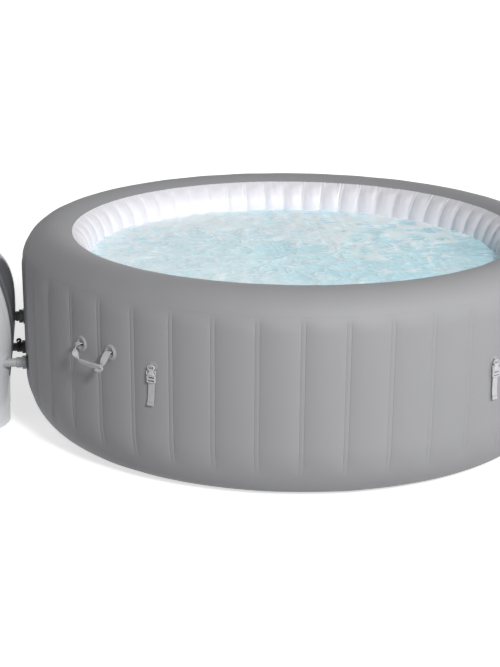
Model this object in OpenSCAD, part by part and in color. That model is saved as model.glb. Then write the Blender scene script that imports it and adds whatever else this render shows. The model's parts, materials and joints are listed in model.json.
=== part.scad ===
// Inflatable hot tub: an air-filled ring wall with a liner and floor, its grab handles and
// cover clips, and the free-standing pump, heater and air blower unit joined to it by three
// pipes. Millimetres, +Z up. The origin is the centre of the tub's underside and the pump
// unit stands on -X.

/* [Tub wall] */
// Outside diameter of the inflated wall at its widest
tub_d = 1960; // [1800:10:2200]
// Height of the inflated wall
tub_h = 710; // [660:10:800]
// Radial width of the wall, from its widest place to the liner
wall_w = 240; // [230:5:260]
// How much the wall draws in towards its foot
foot_taper = 8.5; // [2:0.5:14]
// Width of the round from the wall's side to its crest
crest_w = 115; // [100:1:120]
// Height of the rounds beside the crest
crest_h = 128; // [110:1:140]
// Width of the round from the wall's side to its foot
foot_w = 157; // [120:1:180]
// Height of the round at the foot
foot_h = 204; // [180:1:220]
// Thickness of the laminated sheet
sheet_t = 2; // [1:0.5:3]
// Radial width of the rim, from the wall's widest place to the seam with the liner
rim_w = 180; // [165:1:190]
// Angle up the outer crest where the wall sheet meets the rim sheet
wall_seam_a = 25; // [15:1:40]
// Radius of the liner's round into the floor
liner_foot_r = 30; // [20:1:40]

/* [Tension bands] */
// Number of upright bands that tie the wall to the liner
band_count = 42; // [24:1:60]
// Turn of the first band about the tub's axis
band_first_a = 255.34; // [250:0.01:260]
// Height of the bands' lower edge
band_z = 190; // [185:1:220]
// Height of the bands' upper edge
band_top = 600; // [500:1:605]
// Width of the flange that is welded to the wall
band_flange_w = 17; // [10:1:30]
// Diameter of the air holes in each band
band_hole_d = 80; // [40:1:100]

/* [Valves] */
// Turn of the air valve about the tub's axis
air_valve_a = 156.8; // [155:0.1:158.5]
// Height of the air valve
air_valve_z = 420; // [250:1:450]
// Turn of the drain valve about the tub's axis
drain_a = 19; // [18:0.5:20]
// Height of the drain valve
drain_z = 150; // [130:1:250]
// Flange diameter of both valves
valve_flange_d = 64; // [56:1:80]
// Flange thickness of both valves
valve_flange_t = 4; // [3:0.5:6]
// Neck diameter of both valves
valve_neck_d = 34; // [28:1:40]
// Neck length of both valves outside the flange
valve_neck_l = 12; // [8:1:16]
// Bore of both valves
valve_bore_d = 22; // [16:1:24]
// Wall thickness of the valve caps
cap_t = 2.5; // [2:0.5:4]

/* [Grab handles] */
// Turn of the first handle about the tub's axis
handle_a = 220.4; // [214:0.1:224]
// Height of the handle's slots
handle_z = 453; // [300:1:470]
// Spacing of the two slots of a handle
handle_span = 138; // [126:1:150]
// Diameter of the welded patches
patch_d = 54; // [50:1:64]
// Height of the patches off the wall
patch_t = 9; // [8.5:0.5:12]
// Width of the window in a patch
window_w = 30; // [28:1:34]
// Height of the window in a patch
window_h = 15; // [14.5:0.5:18]
// Diameter of the bar across the window
bar_d = 4; // [3:0.1:5]
// Width of the webbing
webbing_w = 25; // [20:1:26]
// Thickness of the webbing
webbing_t = 2; // [1.5:0.1:2.5]
// How far the grip stands off the wall
grip_out = 43; // [42:1:55]
// How far the grip hangs below its slots
grip_drop = 45; // [44:1:60]
// Length of the grip
grip_l = 112; // [90:1:125]
// Diameter of the grip
grip_d = 18; // [14:1:22]

/* [Cover clips] */
// Turn of the two clips farthest from the pump, each side of +X
clip_far_a = 55.3; // [50:0.1:60]
// Turn of the two clips nearest the pump, each side of +X
clip_near_a = 125.5; // [120:0.1:130]
// Height of the pivot bar of the near clips
clip_near_z = 436; // [400:1:460]
// Height of the pivot bar of the far clips
clip_far_z = 428; // [380:1:460]
// Distance of the clip's pivot bar from the wall
clip_off = 9; // [8:0.5:12]
// Width of the clip
clip_w = 32; // [30:1:36]
// Thickness of the clip
clip_t = 9; // [8:0.5:10]
// Height of the socket half
socket_h = 30; // [28:1:40]
// Height of the ladder lock on the prong half
ladder_h = 22; // [16:1:26]
// Length of the webbing tail
tail_l = 74; // [60:1:100]

/* [Ports and pipes] */
// Height of the air port A
air_port_z = 386; // [360:1:400]
// Height of the water ports B and C
water_port_z = 242; // [232:1:260]
// Spacing of the water ports B and C
water_port_span = 191; // [185:1:210]
// Bore of the ports and pipes
port_bore_d = 26; // [20:1:26]
// Outside diameter of the port tubes
port_tube_d = 40; // [38:1:44]
// Flange diameter of the ports
port_flange_d = 56; // [54:1:64]
// Flange thickness of the ports
port_flange_t = 4; // [3:0.5:5]
// Length of the threaded end outside the flange
port_thread_l = 8; // [7:0.5:9]
// Thickness of the gaskets
gasket_t = 2; // [1.5:0.5:3]
// Outside diameter of the pump's pipes
pipe_d = 31; // [30:0.5:33]
// Thickness of the collar at a pipe's end
collar_t = 3; // [2.5:0.5:4]
// Outside diameter of the coupling nuts
nut_d = 48; // [47:1:54]
// Number of grip ribs round a coupling nut
nut_ribs = 12; // [8:1:16]
// Gap between a coupling nut and what turns inside it
nut_gap = 0.3; // [0.2:0.05:0.4]

/* [Filter] */
// Outside diameter of the filter housing
filter_d = 104; // [90:1:108]
// Height of the filter housing
filter_h = 110; // [90:1:130]
// Wall thickness of the filter housing and its cap
filter_t = 3; // [2:0.5:4]
// Outside diameter of the filter cartridge
cartridge_d = 88; // [70:1:90]
// Distance of the filter's axis from the liner
filter_off = 84; // [80:1:95]
// Diameter of the air riser's tube
air_tube_d = 28; // [20:1:30]
// Diameter of the air ring's tube
ring_tube_d = 20; // [18:1:22]

/* [Pump unit] */
// Gap between the tub and the pump unit
pump_gap = 26; // [24:1:40]
// Widest diameter of the pump unit
pump_d = 440; // [420:1:460]
// Diameter of the pump unit at its foot
pump_foot_d = 388; // [380:1:400]
// Height up to which the pump unit's sides are upright
waist_z = 120; // [80:1:140]
// Height of the widest place of the pump unit
belly_z = 420; // [400:1:430]
// Height of the top edge of the shells
pump_h = 640; // [620:1:645]
// Share of the dome's full height at which it is cut flat for the panel
dome_share = 0.917; // [0.9:0.001:0.93]
// Squareness of the dome, 2 for an ellipse
dome_power = 3; // [2.6:0.1:3.6]
// Thickness of the shells
shell_t = 3; // [2.5:0.5:4]
// Radius of the curved joint between the front and rear shells
shell_joint_r = 700; // [650:10:900]
// Where the joint lies behind the pump's axis at its rearmost
shell_joint_x = 205; // [203:1:207]
// Height of the joint's rearmost place
shell_joint_z = 320; // [300:5:340]
// Height of the rear shell's lower edge
rear_shell_z = 172; // [160:1:180]
// Gap in the joint between the shells
shell_joint_gap = 0.6; // [0.3:0.1:1]
// Height of the rubber feet
feet_h = 8; // [6:1:12]
// Diameter of the rubber feet
feet_d = 36; // [30:1:44]
// Thickness of the base
base_t = 6; // [4:1:8]

/* [Control panel] */
// Diameter of the panel's rim
panel_d = 236; // [232:1:244]
// Thickness of the panel's rim
panel_rim_t = 3; // [2.5:0.5:4]
// Depth of the panel below the shells' top
panel_depth = 10; // [8:1:14]
// Diameter of the ring of buttons
button_ring_d = 144; // [130:1:160]
// Diameter of a button
button_d = 18; // [14:0.5:24]
// Travel of a button
button_travel = 1; // [0.5:0.1:1.5]
// Gap round a button
button_gap = 0.4; // [0.3:0.05:0.6]
// Length of the display lens
lens_l = 64; // [50:1:76]
// Width of the display lens
lens_w = 36; // [24:1:40]

/* [Hidden] */

$fn = 64;
round_steps = 10;
cut = 1;
touch_gap = 0.3;
running_gap = 0.06;

// ---- Tub wall ----
tub_r = tub_d / 2;
inner_r = tub_r - wall_w;
crest_r = tub_r - crest_w;
crest_z = tub_h - crest_h;
liner_w = crest_r - inner_r;
foot_r = tub_r - foot_taper - foot_w;
rim_seam_a = 180 - acos((rim_w - crest_w) / liner_w);
floor_z = 2 * sheet_t;

function arc_points(x, z, a, b, from, to) =
    [for (i = [0:round_steps]) let (t = from + (to - from) * i / round_steps)
        [x + a * cos(t), z + b * sin(t)]];
function reversed(list) = [for (i = [len(list) - 1:-1:0]) list[i]];
// Outside radius of the wall between its foot and its crest
function wall_r(z) = tub_r - foot_taper * (crest_z - z) / (crest_z - foot_h);
// Outside radius of the foot's round
function foot_round_r(z) = foot_r + foot_w * sqrt(1 - pow((foot_h - z) / foot_h, 2));
function side_r(z) = z < foot_h ? foot_round_r(z) : wall_r(z);

// Outline of the wall sheet, inset by t
function wall_line(t) = concat(
    arc_points(foot_r, foot_h, foot_w - t, foot_h - t, -90, 0),
    arc_points(crest_r, crest_z, crest_w - t, crest_h - t, 0, wall_seam_a));
function rim_line(t) = concat(
    arc_points(crest_r, crest_z, crest_w - t, crest_h - t, wall_seam_a, 90),
    arc_points(crest_r, crest_z, liner_w - t, crest_h - t, 90, rim_seam_a));
function liner_line(t) = concat(
    arc_points(crest_r, crest_z, liner_w - t, crest_h - t, rim_seam_a, 180),
    arc_points(inner_r - liner_foot_r, floor_z + liner_foot_r,
        liner_foot_r + t, liner_foot_r + t, 0, -90));
module sheet(outside, inside) {
    rotate_extrude() polygon(concat(outside, reversed(inside)));
}
// Everything inside the wall's outer face, used to trim what is welded to it
module tub_solid() {
    rotate_extrude($fn = 720) polygon(concat([[0, 0]], wall_line(0), [[0, crest_z]]));
}

// ---- Places on the wall ----
// x points out of the wall, y along it and z up
module on_wall(a, z) { rotate([0, 0, a]) translate([side_r(z), 0, z]) children(); }
module along_x(d, from, to) { translate([from, 0, 0]) rotate([0, 90, 0]) cylinder(d = d, h = to - from); }
module along_y(d, l) { rotate([90, 0, 0]) cylinder(d = d, h = l, center = true); }
module block(x, y, z) { cube([x, y, z], center = true); }

// ---- Ports: [y, z] of A, B and C ----
ports = [[0, air_port_z], [water_port_span / 2, water_port_z], [-water_port_span / 2, water_port_z]];
// Distance of the wall's outer and inner faces from the axis, along X at a port
function port_wall(p) = sqrt(pow(wall_r(p[1]), 2) - pow(p[0], 2));
function port_liner(p) = sqrt(pow(inner_r, 2) - pow(p[0], 2));
// x now points from the wall towards the pump unit
module at_port(i) {
    translate([-port_wall(ports[i]), ports[i][0], ports[i][1]]) rotate([0, 0, 180]) children();
}
port_end = port_flange_t + port_thread_l;
collar_x = port_end + gasket_t;
nut_x = port_flange_t + 1;
nut_end = collar_x + collar_t + 2;
thread_clear_d = port_tube_d + 2 * nut_gap;
port_hole_d = port_tube_d + 0.2;
riser_x = inner_r + sheet_t + air_tube_d / 2 + 2;
riser_z = 60;
riser_inlet_d = 18;

module outer_wall() {
    color([0.60, 0.60, 0.61]) difference() {
        sheet(wall_line(0), wall_line(sheet_t));
        for (i = [0:2]) at_port(i) along_x(port_hole_d, -3 * port_tube_d, port_tube_d);
        on_wall(air_valve_a, air_valve_z) along_x(valve_neck_d, -valve_neck_d, valve_neck_d);
        on_wall(drain_a, drain_z) along_x(valve_neck_d, -valve_neck_d, valve_neck_d);
    }
}
module rim_sheet() { color([0.62, 0.62, 0.63]) sheet(rim_line(0), rim_line(sheet_t)); }
module inner_liner() {
    color([0.93, 0.93, 0.95]) difference() {
        sheet(liner_line(0), liner_line(sheet_t));
        for (i = [1:2]) translate([-inner_r, ports[i][0], ports[i][1]])
            along_x(port_hole_d, -port_tube_d, 3 * port_tube_d);
        translate([-inner_r, 0, riser_z]) along_x(riser_inlet_d, -port_tube_d, port_tube_d);
    }
}
module floor_sheet() {
    color([0.93, 0.93, 0.95]) translate([0, 0, sheet_t])
        cylinder(r = inner_r - liner_foot_r, h = sheet_t, $fn = 180);
}
module bottom_sheet() { color([0.35, 0.35, 0.36]) cylinder(r = foot_r, h = sheet_t, $fn = 180); }

// Each band is a sheet with a welded flange at both edges and three air holes
band_from = inner_r + sheet_t + cut;
band_to = tub_r - foot_taper - sheet_t - cut;
band_h = band_top - band_z;
module band() {
    difference() {
        union() {
            translate([(band_from + band_to) / 2, 0, band_z + band_h / 2])
                block(band_to - band_from, sheet_t, band_h);
            for (x = [band_from + sheet_t / 2, band_to - sheet_t / 2])
                translate([x, 0, band_z + band_h / 2]) block(sheet_t, band_flange_w, band_h);
        }
        for (i = [1:3]) translate([(band_from + band_to) / 2, 0, band_z + band_h * i / 4])
            along_y(band_hole_d, band_flange_w);
    }
}
module tension_bands() {
    color([0.80, 0.80, 0.82]) difference() {
        for (i = [0:band_count - 1]) rotate([0, 0, band_first_a + i * 360 / band_count]) band();
        for (i = [0:2]) at_port(i) along_x(port_tube_d + 8, -tub_r + inner_r - port_tube_d, port_tube_d);
    }
}

// ---- Valves ----
module valve_body() {
    difference() {
        union() {
            along_x(valve_flange_d, -valve_flange_t, valve_flange_t);
            along_x(valve_neck_d - 0.2, -valve_neck_d / 2, valve_flange_t + valve_neck_l);
        }
        along_x(valve_bore_d, -valve_neck_d, valve_flange_t + valve_neck_l + cut);
    }
}
// The neck passes the wall through its own hole, and the flange is trimmed to the wall
module fitted_valve(a, z) {
    difference() {
        on_wall(a, z) valve_body();
        difference() {
            tub_solid();
            on_wall(a, z) along_x(valve_neck_d, -valve_neck_d, valve_neck_d);
        }
    }
}
module valve_cap() {
    cap_from = valve_flange_t + 2;
    cap_to = valve_flange_t + valve_neck_l + touch_gap + cap_t;
    difference() {
        along_x(valve_neck_d + 2 * (cap_t + touch_gap), cap_from, cap_to);
        along_x(valve_neck_d + 2 * touch_gap, cap_from - cut, cap_to - cap_t);
    }
    translate([cap_to + 2, 0, 0]) block(6, valve_bore_d, 5);
}
module air_valve_body() { color([0.25, 0.25, 0.26]) fitted_valve(air_valve_a, air_valve_z); }
module air_valve_cap() { color([0.2, 0.2, 0.2]) on_wall(air_valve_a, air_valve_z) valve_cap(); }
module drain_valve_body() { color([0.25, 0.25, 0.26]) fitted_valve(drain_a, drain_z); }
module drain_valve_cap() { color([0.2, 0.2, 0.2]) on_wall(drain_a, drain_z) valve_cap(); }

// ---- Grab handles ----
// Places are given from the middle of a handle's two slots, on the wall's face at the slots
bar_x = patch_t - 4;
ring_d = bar_d + 2 * running_gap + 3;
strap_w = webbing_w - 1;
handle_x = wall_r(handle_z) * cos(asin(handle_span / 2 / wall_r(handle_z)));
module at_handle(i) {
    rotate([0, 0, handle_a - 180 * i]) translate([handle_x, 0, handle_z]) children();
}
module handle_patch() {
    difference() {
        along_x(patch_d, -patch_t, patch_t);
        block(3 * patch_t, window_w, window_h);
    }
    translate([bar_x, 0, 0]) along_y(bar_d, window_w + 2);
}
module handle_patches() {
    color([0.58, 0.58, 0.59]) difference() {
        for (i = [0:1]) at_handle(i) for (s = [-1, 1]) translate([0, s * handle_span / 2, 0])
            handle_patch();
        tub_solid();
    }
}
// The webbing leaves its bar flat and turns on edge where it folds round the grip
module strap_leg(s) {
    slope = atan2(-grip_drop, grip_out - bar_x);
    hull() {
        translate([bar_x, s * handle_span / 2, 0]) rotate([0, -slope, 0])
            translate([ring_d / 2, 0, 0]) block(1.6, strap_w, webbing_t);
        translate([grip_out, s * (grip_l / 2 - 1), -grip_drop])
            block(grip_d * 0.7, webbing_t, grip_d * 0.7);
    }
}
module strap_ring() {
    difference() {
        along_y(ring_d, strap_w);
        along_y(bar_d + 2 * running_gap, strap_w + cut);
    }
}
module handle_strap(i) {
    color([0.72, 0.72, 0.73]) at_handle(i) {
        for (s = [-1, 1]) {
            translate([bar_x, s * handle_span / 2, 0]) strap_ring();
            strap_leg(s);
        }
        translate([grip_out, 0, -grip_drop]) along_y(grip_d, grip_l);
    }
}

// ---- Cover clips ----
clips = [[-clip_near_a, clip_near_z], [-clip_far_a, clip_far_z], [0, clip_far_z],
    [clip_far_a, clip_far_z], [clip_near_a, clip_near_z]];
clip_ring_d = bar_d + 2 * running_gap + 4;
lug_t = 3;
lug_y = clip_w / 2 + lug_t / 2 + touch_gap;
module at_clip(i) { on_wall(clips[i][0], clips[i][1]) children(); }
lug_h = 10;
lug_l = clip_off + bar_d / 2 + 1;
wall_lean = atan(foot_taper / (crest_z - foot_h));
module clip_anchor() {
    rotate([0, wall_lean, 0]) {
        translate([lug_t / 2, 0, 2]) block(lug_t, clip_w + 4 * lug_t, clip_w);
        for (s = [-1, 1]) translate([lug_l / 2, s * lug_y, 0]) block(lug_l, lug_t, lug_h);
    }
    translate([clip_off, 0, 0]) along_y(bar_d, clip_w + lug_t);
}
module clip_anchors() { color([0.62, 0.62, 0.63]) for (i = [0:4]) at_clip(i) clip_anchor(); }
// The socket half hangs from its bar, and is open below and at both sides for the prongs
socket_top = clip_ring_d / 2 + 1;
pocket_w = clip_w - 8;
pocket_t = clip_t - 4;
prong_w = 5;
module clip_socket(i) {
    color([0.80, 0.80, 0.81]) at_clip(i) translate([clip_off, 0, 0]) {
        difference() {
            union() {
                along_y(clip_ring_d, clip_w - 2);
                translate([0, 0, -socket_top / 2]) block(4, clip_w - 2, socket_top);
            }
            along_y(bar_d + 2 * running_gap, clip_w);
        }
        translate([0, 0, -socket_top - socket_h / 2]) difference() {
            block(clip_t, clip_w, socket_h);
            translate([0, 0, -3]) block(pocket_t, pocket_w, socket_h);
            block(pocket_t, clip_w + cut, socket_h / 3);
        }
    }
}
prong_l = socket_h * 0.8;
prong_y = (pocket_w - prong_w) / 2 - touch_gap;
module clip_prong(i) {
    ladder_z = -socket_top - socket_h - touch_gap - ladder_h / 2;
    color([0.80, 0.80, 0.81]) at_clip(i) translate([clip_off, 0, 0]) {
        for (y = [-prong_y, 0, prong_y]) translate([0, y, ladder_z + (ladder_h + prong_l) / 2])
            block(pocket_t - 2 * touch_gap, prong_w, prong_l + cut);
        translate([0, 0, ladder_z]) difference() {
            block(clip_t - 2, clip_w, ladder_h);
            for (s = [-1, 1]) translate([0, 0, s * ladder_h / 5])
                block(clip_t, webbing_w + 1, ladder_h / 5);
        }
        translate([-webbing_t, 0, ladder_z - ladder_h / 2 - tail_l / 2])
            block(webbing_t, webbing_w, tail_l + cut);
    }
}

// ---- Ports, coupling nuts and pipes ----
pump_r = pump_d / 2;
pump_x = tub_r + pump_gap + pump_r;
pipe_reach = 70;
pipe_inner_x = pump_x - pump_r + pipe_reach;
port_inner_l = 20;
// Port A's tube ends in the riser, and the water ports' tubes end inside the liner
module port_body(i) {
    inside = (i == 0 ? riser_x : port_liner(ports[i]) - port_inner_l) - port_wall(ports[i]);
    difference() {
        union() {
            along_x(port_flange_d, -port_flange_t, port_flange_t);
            along_x(port_tube_d, inside, port_end);
        }
        along_x(port_bore_d, inside - cut, port_end + cut);
    }
}
module port_bodies() {
    color([0.35, 0.35, 0.36]) difference() {
        for (i = [0:2]) at_port(i) port_body(i);
        difference() {
            tub_solid();
            for (i = [0:2]) at_port(i) along_x(port_tube_d, -tub_r, port_tube_d);
        }
        translate([-riser_x, 0, 0]) cylinder(d = air_tube_d, h = air_port_z);
    }
}
module port_gaskets() {
    color([0.1, 0.1, 0.1]) for (i = [0:2]) at_port(i) difference() {
        along_x(port_tube_d - 2, port_end, port_end + gasket_t);
        along_x(port_bore_d, port_end - cut, port_end + gasket_t + cut);
    }
}
module pump_pipes() {
    color([0.5, 0.5, 0.51]) for (i = [0:2]) at_port(i) difference() {
        union() {
            along_x(pipe_d, collar_x, pipe_inner_x - port_wall(ports[i]));
            along_x(port_tube_d - 2 * touch_gap, collar_x, collar_x + collar_t);
        }
        along_x(port_bore_d, collar_x - cut, pipe_inner_x);
    }
}
module coupling_nut(i) {
    at_port(i) difference() {
        union() {
            along_x(nut_d - 3, nut_x, nut_end);
            for (k = [0:nut_ribs - 1]) rotate([k * 360 / nut_ribs, 0, 0])
                translate([(nut_x + nut_end) / 2, 0, nut_d / 2 - 1.2]) block(nut_end - nut_x - 2, 5, 2.4);
        }
        along_x(thread_clear_d, nut_x - cut, nut_end - 1.5);
        along_x(pipe_d + 2 * nut_gap, nut_x, nut_end + cut);
    }
}
module coupling_nut_a() { color([0.3, 0.3, 0.31]) coupling_nut(0); }
module coupling_nut_b() { color([0.12, 0.12, 0.12]) coupling_nut(1); }
module coupling_nut_c() { color([0.68, 0.68, 0.69]) coupling_nut(2); }
// Open hook that keeps the port's stopper, standing on pipe B
tether_r = 7;
tether_d = 4;
module pipe_tether() {
    color([0.1, 0.1, 0.1]) at_port(1) translate([nut_end + tether_r + tether_d, 0, 0]) {
        difference() {
            along_x(pipe_d + 4, -tether_d, tether_d);
            along_x(pipe_d + 0.1, -2 * tether_d, 2 * tether_d);
        }
        translate([0, 0, pipe_d / 2 + tether_r + tether_d / 2]) difference() {
            rotate([90, 0, 0]) rotate_extrude() translate([tether_r, 0]) circle(d = tether_d);
            translate([-tether_r, 0, -tether_r / 2]) block(2 * tether_r, 2 * tether_d, tether_r);
        }
    }
}

// ---- Filter, return screen and air ring ----
filter_x = port_liner(ports[2]) - filter_off;
filter_z = water_port_z - filter_h / 2;
stub_d = port_tube_d + 8;
module at_filter() { translate([-filter_x, ports[2][0], filter_z]) children(); }
module filter_housing() {
    color([0.85, 0.85, 0.87]) difference() {
        union() {
            at_filter() cylinder(d = filter_d, h = filter_h);
            translate([-port_liner(ports[2]) + 16, ports[2][0], water_port_z])
                along_x(stub_d, 0, filter_off - filter_d / 2);
        }
        at_filter() translate([0, 0, filter_t]) cylinder(d = filter_d - 2 * filter_t, h = filter_h);
        translate([-port_liner(ports[2]), ports[2][0], water_port_z]) {
            along_x(port_bore_d, 0, filter_off);
            along_x(port_hole_d, 0, 20 + touch_gap);
        }
    }
}
module filter_cartridge() {
    color([0.95, 0.95, 0.97]) at_filter() translate([0, 0, filter_t + touch_gap]) difference() {
        cylinder(d = cartridge_d, h = filter_h - filter_t - 2 * touch_gap);
        translate([0, 0, -cut]) cylinder(d = cartridge_d / 2, h = filter_h + 2 * cut);
    }
}
cap_skirt = 12;
module filter_cap() {
    color([0.85, 0.85, 0.87]) at_filter() translate([0, 0, filter_h]) {
        difference() {
            translate([0, 0, -cap_skirt])
                cylinder(d = filter_d + 2 * (filter_t + touch_gap), h = cap_skirt + filter_t + touch_gap);
            translate([0, 0, -cap_skirt - cut])
                cylinder(d = filter_d + 2 * touch_gap, h = cap_skirt + cut + touch_gap);
        }
        translate([0, 0, filter_t + 5]) block(filter_d * 0.7, 8, 10);
    }
}
module return_screen() {
    color([0.85, 0.85, 0.87]) translate([-port_liner(ports[1]) + 20, ports[1][0], ports[1][1]])
        difference() {
            along_x(port_flange_d, 0, 8);
            along_x(port_bore_d, -cut, 6);
            for (y = [-2:2]) translate([6, y * 6, 0]) block(8, 3, port_bore_d);
        }
}
module air_riser() {
    color([0.85, 0.85, 0.87]) difference() {
        union() {
            translate([-riser_x, 0, riser_z]) cylinder(d = air_tube_d - 0.2, h = air_port_z - riser_z);
            translate([-riser_x, 0, riser_z]) along_x(riser_inlet_d - 0.2, 0, riser_x - inner_r + 6);
        }
        translate([-riser_x, 0, riser_z + 3]) cylinder(d = air_tube_d - 6, h = air_port_z);
        translate([-riser_x, 0, riser_z]) along_x(riser_inlet_d - 5, 0, 2 * air_tube_d);
    }
}
air_ring_r = inner_r - liner_foot_r - 2;
module air_ring() {
    ring_z = floor_z + ring_tube_d / 2;
    color([0.9, 0.9, 0.92]) {
        translate([0, 0, ring_z]) rotate_extrude($fn = 180) translate([air_ring_r, 0]) difference() {
            circle(d = ring_tube_d);
            circle(d = ring_tube_d - 5);
        }
        translate([-air_ring_r - 4, 0, ring_z + ring_tube_d / 2 - 1])
            cylinder(d = riser_inlet_d, h = riser_z - ring_z - ring_tube_d / 2 + 1 + riser_inlet_d / 2);
        translate([-inner_r + 6, 0, riser_z]) along_x(riser_inlet_d, 0, inner_r - 6 - air_ring_r);
    }
}

// ---- Pump unit ----
pump_foot_r = pump_foot_d / 2;
shell_z = feet_h / 2;
dome_steps = 14;
side_steps = 12;
dome_h = (pump_h - belly_z) / dome_share;
function smooth(t) = t < 0 ? 0 : t * t * (3 - 2 * t);
function side_profile_r(z) =
    pump_foot_r + (pump_r - pump_foot_r) * smooth((z - waist_z) / (belly_z - waist_z));
function dome_profile_r(z) = pump_r * pow(1 - pow((z - belly_z) / dome_h, dome_power), 1 / dome_power);
function shell_line(t) = concat(
    [for (i = [0:side_steps]) let (z = shell_z + (belly_z - shell_z) * i / side_steps)
        [side_profile_r(z) - t, z]],
    [for (i = [1:dome_steps]) let (z = belly_z + (pump_h - t - belly_z) * sin(90 * i / dome_steps))
        [dome_profile_r(z) - t, z]]);
module at_pump() { translate([-pump_x, 0, 0]) children(); }
module unit_solid(t) {
    rotate_extrude($fn = 180) polygon(concat([[0, shell_z]], shell_line(t), [[0, pump_h - t]]));
}
panel_body_d = panel_d - 12;
gland_z = 60;
gland_y = side_profile_r(gland_z);
module gland_hole(d) { translate([0, gland_y, gland_z]) along_y(d, 40); }
module unit_shell() {
    difference() {
        unit_solid(0);
        translate([0, 0, -cut]) cylinder(r = side_profile_r(shell_z) - shell_t, h = shell_z + 2 * cut);
        unit_solid(shell_t);
        cylinder(d = panel_body_d + 2 * touch_gap, h = pump_h + cut);
        for (p = ports) translate([0, p[0], p[1]]) along_x(pipe_d + 1, 0, pump_r + cut);
        gland_hole(gland_d + 0.2);
    }
}
// The space of the rear shell, behind a curved joint and above its lower edge, grown by g
joint_steps = 16;
function joint_x(z, g) =
    shell_joint_x - shell_joint_r + sqrt(pow(shell_joint_r - g, 2) - pow(z - shell_joint_z, 2));
module rear_space(g) {
    from = rear_shell_z - g;
    step = (pump_h + cut - from) / joint_steps;
    line = [for (i = [0:joint_steps]) [joint_x(from + step * i, g), from + step * i]];
    rotate([90, 0, 0]) linear_extrude(height = 2 * pump_d, center = true)
        polygon(concat(line, [[pump_d, pump_h + cut], [pump_d, from]]));
}
module front_shell() {
    color([0.82, 0.82, 0.84]) at_pump() difference() {
        unit_shell();
        rear_space(shell_joint_gap);
    }
}
module rear_shell() {
    color([0.30, 0.30, 0.32]) at_pump() intersection() {
        unit_shell();
        rear_space(0);
    }
}
base_r = pump_foot_r - shell_t - 1;
grille_r = 60;
grille_pitch = 11;
grille_slots = 4;
screw_r = base_r - 25;
feet_r = base_r - 50;
module pump_base() {
    color([0.2, 0.2, 0.21]) at_pump() translate([0, 0, feet_h]) difference() {
        cylinder(r = base_r, h = base_t);
        translate([0, 0, -cut]) cylinder(r = grille_r + touch_gap, h = base_t + 2 * cut);
        for (a = [0:60:300]) rotate([0, 0, a]) translate([screw_r, 0, -cut])
            cylinder(d = 5.2, h = base_t + 2 * cut);
    }
}
module rubber_feet() {
    color([0.08, 0.08, 0.08]) at_pump() for (a = [45:90:315]) rotate([0, 0, a])
        translate([feet_r, 0, 0]) cylinder(d = feet_d, h = feet_h);
}
module base_screws() {
    color([0.75, 0.75, 0.76]) at_pump() for (a = [0:60:300]) rotate([0, 0, a])
        translate([screw_r, 0, feet_h - 3]) {
            cylinder(d = 10, h = 3);
            cylinder(d = 5, h = 3 + base_t + 8);
        }
}
module intake_grille() {
    color([0.15, 0.15, 0.16]) at_pump() translate([0, 0, feet_h]) difference() {
        cylinder(r = grille_r, h = 4);
        for (i = [-grille_slots:grille_slots]) let (y = i * grille_pitch)
            translate([0, y, 0]) block(2 * sqrt(pow(grille_r - 8, 2) - pow(y, 2)), 5, 10);
    }
}

// ---- Control panel ----
panel_top = pump_h + panel_rim_t;
lens_t = 2;
module at_button(i) {
    at_pump() rotate([0, 0, 60 * i + 30]) translate([button_ring_d / 2, 0, 0]) children();
}
module control_panel() {
    color([0.12, 0.12, 0.13]) difference() {
        at_pump() union() {
            translate([0, 0, pump_h]) cylinder(d = panel_d, h = panel_rim_t);
            translate([0, 0, pump_h - panel_depth]) cylinder(d = panel_body_d, h = panel_depth);
        }
        for (i = [0:5]) at_button(i) translate([0, 0, pump_h - panel_depth - cut])
            cylinder(d = button_d + 2 * button_gap, h = panel_depth + panel_rim_t + 2 * cut);
        at_pump() translate([0, 0, panel_top]) block(lens_w, lens_l, 2 * lens_t);
    }
}
module display_lens() {
    color([0.05, 0.08, 0.1]) at_pump() translate([0, 0, panel_top - lens_t / 2])
        block(lens_w - 0.2, lens_l - 0.2, lens_t);
}
// A button's flange keeps it from coming out of the panel
module button(i) {
    color([0.75, 0.75, 0.77]) at_button(i) {
        translate([0, 0, pump_h - panel_depth - touch_gap - 2]) cylinder(d = button_d + 4, h = 2);
        translate([0, 0, pump_h - panel_depth - touch_gap - 1])
            cylinder(d = button_d, h = panel_depth + panel_rim_t + touch_gap + 1 + button_travel + 1);
    }
}
board_l = button_ring_d + button_d + 8;
board_w = board_l - 40;
module circuit_board() {
    color([0.1, 0.35, 0.2]) at_pump()
        translate([0, 0, pump_h - panel_depth - touch_gap - button_travel - 6]) block(board_w, board_l, 2);
}

// ---- Inside the pump unit ----
volute_z = 80;
volute_r = 55;
volute_y = -60;
volute_l = 40;
wall_t = 6;
shaft_d = 8;
module from_y(d, y, l) { translate([0, y, 0]) rotate([-90, 0, 0]) cylinder(d = d, h = l); }
module circulation_housing() {
    color([0.2, 0.2, 0.22]) at_pump() translate([0, 0, volute_z]) difference() {
        from_y(2 * volute_r, volute_y, volute_l);
        from_y(2 * (volute_r - wall_t), volute_y + wall_t, volute_l - 2 * wall_t);
        from_y(20, volute_y - cut, wall_t + 2 * cut);
        from_y(shaft_d + 2 * running_gap, volute_y + volute_l - wall_t - cut, wall_t + 2 * cut);
        translate([0, volute_y + volute_l / 2, 0]) cylinder(d = 16, h = volute_r + cut);
    }
}
module circulation_impeller() {
    hub_y = volute_y + wall_t + 4;
    blade_l = volute_l - 2 * wall_t - 8;
    color([0.85, 0.85, 0.8]) at_pump() translate([0, 0, volute_z]) {
        from_y(24, hub_y, blade_l);
        from_y(shaft_d, hub_y, blade_l + 40);
        for (a = [0:60:300]) rotate([0, a, 0]) translate([24, hub_y + blade_l / 2, 0])
            block(30, blade_l - 2, 3);
    }
}
motor_d = 90;
motor_l = 90;
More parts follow.
